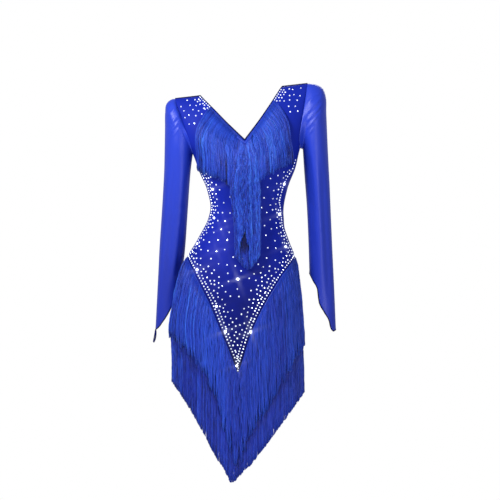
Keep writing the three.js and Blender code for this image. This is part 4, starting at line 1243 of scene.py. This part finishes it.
def bust_fringe(hand):
    """Strands that leave the neckline's tape square to it and fan out over the bust, turning
    down along a parabola until they hang plumb."""
    sign = 1 if hand == "left" else -1
    count, clumps = BUST_STRANDS, BUST_CLUMPS
    share = mix(0.045, 0.995, (np.arange(count) + chance.uniform(0, 1, count)) / count)
    group = (np.clip(share + chance.normal(0, 0.006, count), 0, 0.999) * clumps).astype(int)
    inset = BUST_INSET + chance.uniform(1, TAPE_HEIGHT, count)
    across, level = beside_neck(FRONT_NECK, share * BUST_TAPE_END, inset)
    end_across = curve(BUST_FAN, "across", hand, across) + chance.normal(0, 1.2, count)
    members = np.maximum(np.bincount(group, minlength=clumps), 1)
    centre = np.bincount(group, end_across, clumps) / members
    gathered_by = (centre[group] - end_across) * chance.uniform(0.3, 0.8, clumps)[group]
    ragged = chance.normal(0, 2.4, clumps)[group] - np.abs(chance.normal(0, 3.4, count))
    end_level = curve(BUST_ENDS, "across", hand, end_across) + ragged
    t = np.linspace(0, 1, BUST_STATIONS)[None, :]
    z = mix(level[:, None], end_level[:, None], t)
    out_by = end_across - across
    bent = np.clip((level[:, None] - z) / (1.9 * out_by + 8)[:, None], 0, 1)
    x = across[:, None] + out_by[:, None] * (1 - (1 - bent) ** 2)
    x = x + gathered_by[:, None] * ease((t - 0.2) / 0.7)
    wander = random_waves(count, 1, 3, t)
    x = x + 0.9 * ease(t / 0.15) * wander[0]
    stand = mix(1.4, 3.6 + 2.6 * share[:, None] ** 2, np.clip(t * 4, 0, 1))
    stand = stand + chance.uniform(-0.6, 2.6, (count, 1)) * ease(t / 0.2)
    rods = strands(chest_point(sign * x, z, stand + 0.5 * ease(t / 0.2) * wander[1]), CHEST_OUT)
    lines = []
    for inset in (BUST_INSET, BUST_INSET + TAPE_HEIGHT):
        x, z = beside_neck(FRONT_NECK, np.linspace(0.035, 1, 60) * BUST_TAPE_END, inset)
        lines.append(chest_point(sign * x, z, TAPE_LIFT))
    tones = strand_tones(group, BUST_STATIONS, 0.44, 0.2, end_shade=0.22, calm=0.35)
    band = tape(*lines, CHEST_OUT)
    return fringe_piece(f"bust_strands_{hand}", f"bust_fringe_{hand}", rods, tones, band)


bust_left = bust_fringe("left")
bust_right = bust_fringe("right")

# The centre fringe along its drop: half its width and its middle.
CENTRE_PATH = table(
    "t half middle",
    (0, 19, 0), (0.17, 34, -3), (0.38, 42, -5), (0.55, 39, -1), (0.72, 37, 1), (0.84, 36, 1),
    (0.93, 34, 2), (1, 31, 3),
)
# A notch in its front layer: by the strands' place across as a share, where those there end.
CENTRE_NOTCH = table(
    "share level",
    (-0.7, -484), (-0.64, -428), (-0.57, -402), (-0.4, -386), (-0.18, -368), (-0.08, -402),
    (0.14, -412), (0.22, -484),
)
CENTRE_TOP = NECK_V_LEVEL - 5
CENTRE_END = -481
CENTRE_TAPE_SLOPE = 0.9  # how steeply its tape climbs on both sides of the V
CENTRE_STRANDS = 460
CENTRE_CLUMPS = 26
CENTRE_STATIONS = 34


def centre_fringe():
    """Strands that hang free from the bottom of the V: a back layer over the whole width, and a
    crimped front layer with a notch above its ends, in which the back layer lies in shade."""
    count, clumps = CENTRE_STRANDS, CENTRE_CLUMPS
    front = np.arange(count) % 5 > 1
    share = chance.uniform(-1, 1, count)
    share = np.sort(share)[chance.permutation(count)]
    place = np.clip((share + 1) / 2 + chance.normal(0, 0.01, count), 0, 0.999)
    group = (place * clumps).astype(int)
    climb = np.abs(share) * CENTRE_PATH["half"][0] * CENTRE_TAPE_SLOPE
    root = CENTRE_TOP + climb - chance.uniform(1, TAPE_HEIGHT, count)
    short = np.abs(chance.normal(0, 2.5, count)) + np.abs(chance.normal(0, 4, clumps))[group]
    end = CENTRE_END + 34 * share**2 + short
    notch = np.interp(share, CENTRE_NOTCH["share"], CENTRE_NOTCH["level"])
    end = np.where(front, np.maximum(end, notch - chance.uniform(-3, 6, count)), end)
    t = np.linspace(0, 1, CENTRE_STATIONS)[None, :]
    level = root[:, None] + (end - root)[:, None] * t
    drop = (CENTRE_TOP - level) / (CENTRE_TOP - CENTRE_END)
    half, middle = (curve(CENTRE_PATH, "t", name, drop) for name in ("half", "middle"))
    wander = random_waves(count, 6, 11, t)
    crimp = 0.2 + 1.1 * ease(t / 0.1) * (1 - 0.3 * ease((drop - 0.35) / 0.4))
    across = middle + share[:, None] * (half - 1.5) + crimp * wander[0]
    depth = np.where(front, chance.uniform(4.0, 9.5, count), chance.uniform(1.0, 3.6, count))
    rounded = np.sqrt(1 - 0.96 * share**2)[:, None]
    stand = mix(6.5, 4.0 + (3.0 + depth[:, None]) * rounded, ease(t / 0.4))
    stand = stand + 0.9 * ease(t / 0.2) * wander[1]
    rods = strands(chest_point(across, level, stand), CHEST_OUT, 0.85)
    line = np.linspace(-20, 20, 40)
    high = CENTRE_TOP + np.abs(line) * CENTRE_TAPE_SLOPE
    edges = [chest_point(line, high - below, 6.4) for below in (0, TAPE_HEIGHT)]
    tones = strand_tones(group, CENTRE_STATIONS, 0.48, 0.18, end_shade=0.1, drift=1.25, broad=0.55)
    shade = ease((-362 - level) / 12) * (1 - ease((-414 - level) / 36))
    in_notch = (share > -0.74) & (share < 0.28) & ~front
    # Painted shade: strands darker towards the edges, where they round in to the cloth, and the back
    # layer darker behind the front one.
    tones = tones * (0.8 + 0.2 * rounded) * np.where(front, 1, 0.75)[:, None]
    tones = tones * (1 - shade * in_notch[:, None])
    band = tape(*edges, CHEST_OUT)
    return fringe_piece("centre_strands", "centre_fringe", rods, tones, band)


centre = centre_fringe()


# ------------------------------------------------------------------ crystals
STONE = 4.1  # across a small stone
BIG_STONE = 6.6
BIG_ROOM = 6.2  # from a large stone to the nearest one in a row
FACETS = 8


def cut_stone():
    """A flat-backed stone of width one: a girdle, a crown of facets and a flat table. Points
    are given across, up and out, and the height is two fifths of the width."""
    turn = np.linspace(0, 2 * np.pi, FACETS, endpoint=False)
    rings = []
    for shift, radius, height in ((0, 0.5, 0), (0, 0.5, 0.08), (np.pi / FACETS, 0.29, 0.38)):
        x, y = np.cos(turn + shift) * radius, np.sin(turn + shift) * radius
        rings.append(np.stack([x, y, 0 * turn + height], -1))
    k = np.arange(FACETS)
    n = (k + 1) % FACETS
    walls = np.stack([k, n, n + FACETS, k + FACETS], -1)
    lower = np.stack([k + FACETS, n + FACETS, k + 2 * FACETS], -1)
    upper = np.stack([n + FACETS, n + 2 * FACETS, k + 2 * FACETS], -1)
    back, top = fan(FACETS), fan(FACETS)[:, [0, 2, 1]] + 2 * FACETS
    faces = [walls[:, [0, 1, 2]], walls[:, [0, 2, 3]], lower, upper, back, top]
    return np.concatenate(rings), np.concatenate(faces)


def set_stones(name, angle, level, size, glass=small_crystal, lift=0.1):
    """Stones glued to the cloth: each template turned into its own frame on the figure, spun at
    random and tipped by a few degrees, as hand-set stones are."""
    place, aside, up, out = surface_frame(angle, level)
    spin = chance.uniform(0, 2 * np.pi, len(angle))[:, None]
    tip = chance.normal(0, 0.07, (2, len(angle), 1))
    out = unit(out + aside * tip[0] + up * tip[1])
    right = unit(np.cross(up, out))
    high = np.cross(out, right)
    turned = [right * np.cos(spin) + high * np.sin(spin), high * np.cos(spin) - right * np.sin(spin)]
    template, faces = cut_stone()
    shaped = (template @ np.stack([*turned, out], 1)) * np.asarray(size)[:, None, None]
    points = ((place + out * lift)[:, None] + shaped).reshape(-1, 3)
    index = faces[None] + (np.arange(len(angle)) * len(template))[:, None, None]
    # Painted light: each stone's glow, at random from a quarter of it to all of it.
    tones = chance.uniform(0.25, 1, len(angle)).repeat(len(template))
    faces = [index.reshape(-1, 3)]
    return piece(name, points, faces, glass, tones=tones, smooth=False)


def spaced(candidates, gap, taken):
    """The numbers of the candidates that are picked, in order: each lies at least its own gap
    from all that were taken before it."""
    kept, chosen = list(taken), []
    for k, (point, room) in enumerate(zip(candidates, gap)):
        if ((np.array(kept) - point) ** 2).sum(1).min() >= room * room:
            kept.append(point)
            chosen.append(k)
    return chosen


def flat_of(angle, level):
    """A place on the cloth as flat millimetres: the arc round the body and the level."""
    fine = np.linspace(0, np.pi, 181)
    far = far_along(body_point(fine[None, :], level[:, None]))
    at = np.abs(angle) / np.pi * 180
    low = np.clip(at.astype(int), 0, 179)
    rows = np.arange(len(far))
    arc = far[rows, low] + (at - low) * (far[rows, low + 1] - far[rows, low])
    return np.stack([np.sign(angle) * arc, level], -1)


def yoke_rows(back, inner_below=0.0, pitch=8.8, first=6.0, apart=8.0):
    """Two rows of stones along the V seam, the second a step further above it, half a pitch
    along and only below a level."""
    fine = np.linspace(-np.pi / 2, np.pi / 2, 1201)
    angle = np.pi - fine if back else fine
    found = []
    for r in range(2):
        above = (first + r * apart) * square_to_yoke(angle - 0.004, angle + 0.004)
        level = yoke_level(angle) + above
        far = far_along(body_point(angle, level))
        stops = np.arange(0.5 * r * pitch + 3, far[-1] - 2, pitch)
        stops = stops + chance.normal(0, 0.7 + 0.8 * r, len(stops))
        row = np.stack([np.interp(stops, far, angle), np.interp(stops, far, level)], -1)
        found.append(row if r == 0 else row[row[:, 1] < inner_below])
    return np.concatenate(found)


# How far the side rows keep from the outline, by level: on the wearer's left a bare strip of
# the side shows at the waist.
SIDE_INSET = table(
    "level left right",
    (-190, 5, 4), (-212, 7, 4), (-232, 12, 4), (-290, 14, 4), (-320, 8, 4), (-372, 5, 4),
    (-444, 3, 3),
)
SIDE_PITCH = 6.8
SIDE_WANDER = 0.5


def side_row(sign):
    """A row of stones down a side of the front, from below the bust to the hip, set by its
    distance from the outline as it is seen from the front."""
    level = np.arange(-190, -446, -SIDE_PITCH)
    level = level + chance.normal(0, SIDE_WANDER, len(level))
    edge = curve(SIDE_INSET, "level", "left" if sign > 0 else "right", level) + 0.4
    across = half_width(level) - edge - np.abs(chance.normal(0, SIDE_WANDER, len(level)))
    return np.stack([sign * angle_of(across, level), level], -1)


def neck_row(sign, back, share, inset, first, pitch, loose=0.0):
    """A row of stones beside the front's or the back's neckline, a pitch apart, more or less."""
    across, level = beside_neck(BACK_NECK if back else FRONT_NECK, share, inset)
    far = far_along(np.stack([across, level], -1))
    stops = np.arange(first, far[-1], pitch)
    if loose:
        stops = stops + chance.normal(0, loose, len(stops))
    across, level = np.interp(stops, far, across), np.interp(stops, far, level)
    return np.stack([sign * angle_of(across, level, back), level], -1)


# Large stones on the front, by their place across from the centre and their level.
BIG_STONES = table(
    "across level",
    (-93, -262), (-86, -340), (-122, -410), (99, -250), (88, -330), (117, -418), (-114, -480),
    (128, -490), (-56, -578), (-30, -646), (38, -647), (78, -574), (-3, -738), (-2, -505),
)
TRIES = 20000


def front_rows(big_flat):
    """The stones that are set in rows: along the V seam, down the sides, and three rows along
    the neck edge from the bust fringe to the shoulder seam. Those too near a large one go."""
    rows = [yoke_rows(False, inner_below=-500)]
    for sign in (-1, 1):
        rows.append(side_row(sign))
        for r in range(3):
            share = np.linspace(BUST_TAPE_END + 0.01 - 0.05 * r, 0.985, 200)
            first, pitch = 3.1 * (r % 2), 6.2 + 2.0 * r
            rows.append(neck_row(sign, False, share, 3.4 + r * 6.6, first, pitch, 0.6 + r))
    rows = np.concatenate(rows)
    rows = rows[(rows[:, 1] > -760) & (rows[:, 1] < -4)]
    flat = flat_of(*rows.T)
    clear = np.sqrt(((flat[:, None] - big_flat) ** 2).sum(-1)).min(1) > BIG_ROOM
    return rows[clear], flat[clear]


def loose_room(angle, level):
    """How much room a loose stone wants at a place on the front, and whether one may lie there:
    the room grows from the borders and the V's point towards the middle."""
    across = level_point(angle, level)[0]
    width = np.abs(across)
    above = level - yoke_level(angle)
    shoulder = level > -120
    neck = np.interp(level, *bezier(FRONT_NECK, np.linspace(0, 1, 60))[0].T[::-1])
    sleeve = curve(ARMHOLE, "level", "across", level)
    fringe_side = mix(78, 128, np.clip((-30 - level) / 80, 0, 1))
    left, right = (curve(SIDE_INSET, "level", side, level) for side in ("left", "right"))
    side = half_width(level) - width - np.where(across > 0, left, right)
    on_shoulder = (width > neck + 10) & (width < sleeve - 9) & (level >= -78)
    on_shoulder &= (level >= -30) | (width >= fringe_side)
    on_belly = (level < -196 - 0.42 * (150 - width)) & (side > 1)
    inside = (above > 13) & np.where(shoulder, on_shoulder, on_belly)
    slope = np.where(level < -470, 0.36, 0.85)
    gap = mix(8.0, 21, ease((above * slope - 14) / 56))
    gap = np.minimum(gap, mix(8.4, 24, ease((side - 8) / 32)))
    gap = np.where(level < -600, np.minimum(gap, mix(12, 8.8, (-600 - level) / 70)), gap)
    near_neck = mix(7.5, 13.5, np.clip((width - neck - 14) / 40, 0, 1))
    return np.clip(np.where(shoulder, near_neck, gap), 6.4, 24), inside


def front_stones():
    """All stones of the front: the large ones by their table, the rows, and then loose ones."""
    big = np.stack([angle_of(*BIG_STONES.values()), BIG_STONES["level"]], -1)
    big_flat = flat_of(*big.T)
    rows, row_flat = front_rows(big_flat)
    angle = chance.uniform(-np.pi / 2, np.pi / 2, TRIES)
    level = chance.uniform(-745, -8, TRIES)
    gap, inside = loose_room(angle, level)
    gap = gap * chance.uniform(0.94, 1.15, TRIES)
    angle, level, gap = angle[inside], level[inside], gap[inside]
    picked = spaced(flat_of(angle, level), gap, np.concatenate([row_flat, big_flat]))
    small = np.concatenate([rows, np.stack([angle, level], -1)[picked]])
    sizes = STONE * chance.uniform(0.9, 1.12, len(small))
    wide = np.full(len(big), BIG_STONE)
    return (
        set_stones("front_crystals", *small.T, sizes),
        set_stones("large_crystals", *big.T, wide, large_crystal),
    )


front_crystals, large_crystals = front_stones()


def back_stones():
    """Two rows along the V seam of the back and one along the open back."""
    share = np.linspace(0.02, 0.97, 300)
    edges = [neck_row(sign, True, share, inset=5.5, first=3, pitch=8.6) for sign in (-1, 1)]
    places = np.concatenate([yoke_rows(True), *edges])
    sizes = STONE * chance.uniform(0.9, 1.08, len(places))
    return set_stones("back_crystals", *places.T, sizes)


back_crystals = back_stones()

# ------------------------------------------------------------------ studio
# The camera sees a white backdrop, and dimmer, bluish walls light the dress.
studio = bpy.data.worlds.new("white_studio")
studio.use_nodes = True
room = studio.node_tree
room.nodes.clear()
backdrop = add(room, "ShaderNodeBackground", {"Color": (1, 1, 1, 1), "Strength": 1.0})
walls = add(room, "ShaderNodeBackground", {"Color": (0.93, 0.96, 1, 1), "Strength": 0.42})
seen = add(room, "ShaderNodeLightPath").outputs["Is Camera Ray"]
lit = add(room, "ShaderNodeMixShader", {0: seen, 1: walls, 2: backdrop})
add(room, "ShaderNodeOutputWorld", {"Surface": lit})
bpy.context.scene.world = studio
bpy.context.scene.view_settings.view_transform = "Standard"


def soft_light(name, place, size, watts, target):
    """A square softbox that faces the dress."""
    data = bpy.data.lights.new(name, "AREA")
    data.size = size
    data.energy = watts
    made = bpy.data.objects.new(name, data)
    made.location = place
    x, y, z = np.array(place) - np.array(target)
    made.rotation_euler = (np.arctan2(np.hypot(x, y), z), 0, np.arctan2(y, x) + np.pi / 2)
    bpy.context.scene.collection.objects.link(made)


soft_light("key_softbox", (-1.25, -1.6, 0.8), 0.8, 62, (0.0, -0.1, -0.25))
soft_light("fill_softbox", (1.2, -2.3, -0.6), 1.2, 25, (0.0, -0.1, -0.5))
soft_light("back_softbox", (0.6, 2.4, 0.9), 1.4, 30, (0.0, 0.0, -0.45))


def star_glints():
    """Thin four-pointed glints round whatever is much brighter than white, as a lens draws them
    round the largest stones."""
    bpy.context.scene.use_nodes = True
    tree = bpy.context.scene.node_tree
    tree.nodes.clear()
    glints = {
        "Image": add(tree, "CompositorNodeRLayers"),
        "Threshold": 1.6,
        "Strength": 1.0,
        "Streaks": 4,
        "Streaks Angle": np.radians(20),
        "Iterations": 2,
        "Fade": 0.75,
        "Color Modulation": 0.0,
    }
    glare = add(tree, "CompositorNodeGlare", glints, glare_type="STREAKS")
    add(tree, "CompositorNodeComposite", {"Image": glare})


star_glints()

FLOOR_RADIUS, FLOOR_LEVEL, FLOOR_CORNERS = 1.6, -1.25, 96


def floor_disc():
    """A pale round floor below the dress, made of one ring of faces round a centre, in matt
    paint with a fine grain."""
    k = np.arange(FLOOR_CORNERS)
    turn = 2 * np.pi * k / FLOOR_CORNERS
    ring = np.stack([np.cos(turn) * FLOOR_RADIUS, np.sin(turn) * FLOOR_RADIUS, 0 * turn], -1)
    points = np.concatenate([[[0, 0, 0]], ring]) + [0, 0, FLOOR_LEVEL]
    faces = np.stack([0 * k, k + 1, (k + 1) % FLOOR_CORNERS + 1], -1)
    mesh = bpy.data.meshes.new("studio_floor")
    mesh.from_pydata(points.tolist(), [], faces.tolist())
    made, tree = new_material("pale_floor")
    place = add(tree, "ShaderNodeTexCoord").outputs["Object"]
    noise = add(tree, "ShaderNodeTexNoise", {"Vector": place, "Scale": 40.0})
    grain = {"Value": noise.outputs["Fac"], "To Min": 0.6, "To Max": 0.7}
    matt = add(tree, "ShaderNodeMapRange", grain)
    finish = {"Base Color": colour("#f2f2f0"), "Roughness": matt}
    paint = add(tree, "ShaderNodeBsdfPrincipled", finish)
    add(tree, "ShaderNodeOutputMaterial", {"Surface": paint})
    mesh.materials.append(made)
    disc = bpy.data.objects.new("studio_floor", mesh)
    bpy.context.scene.collection.objects.link(disc)
    return disc


floor_disc()
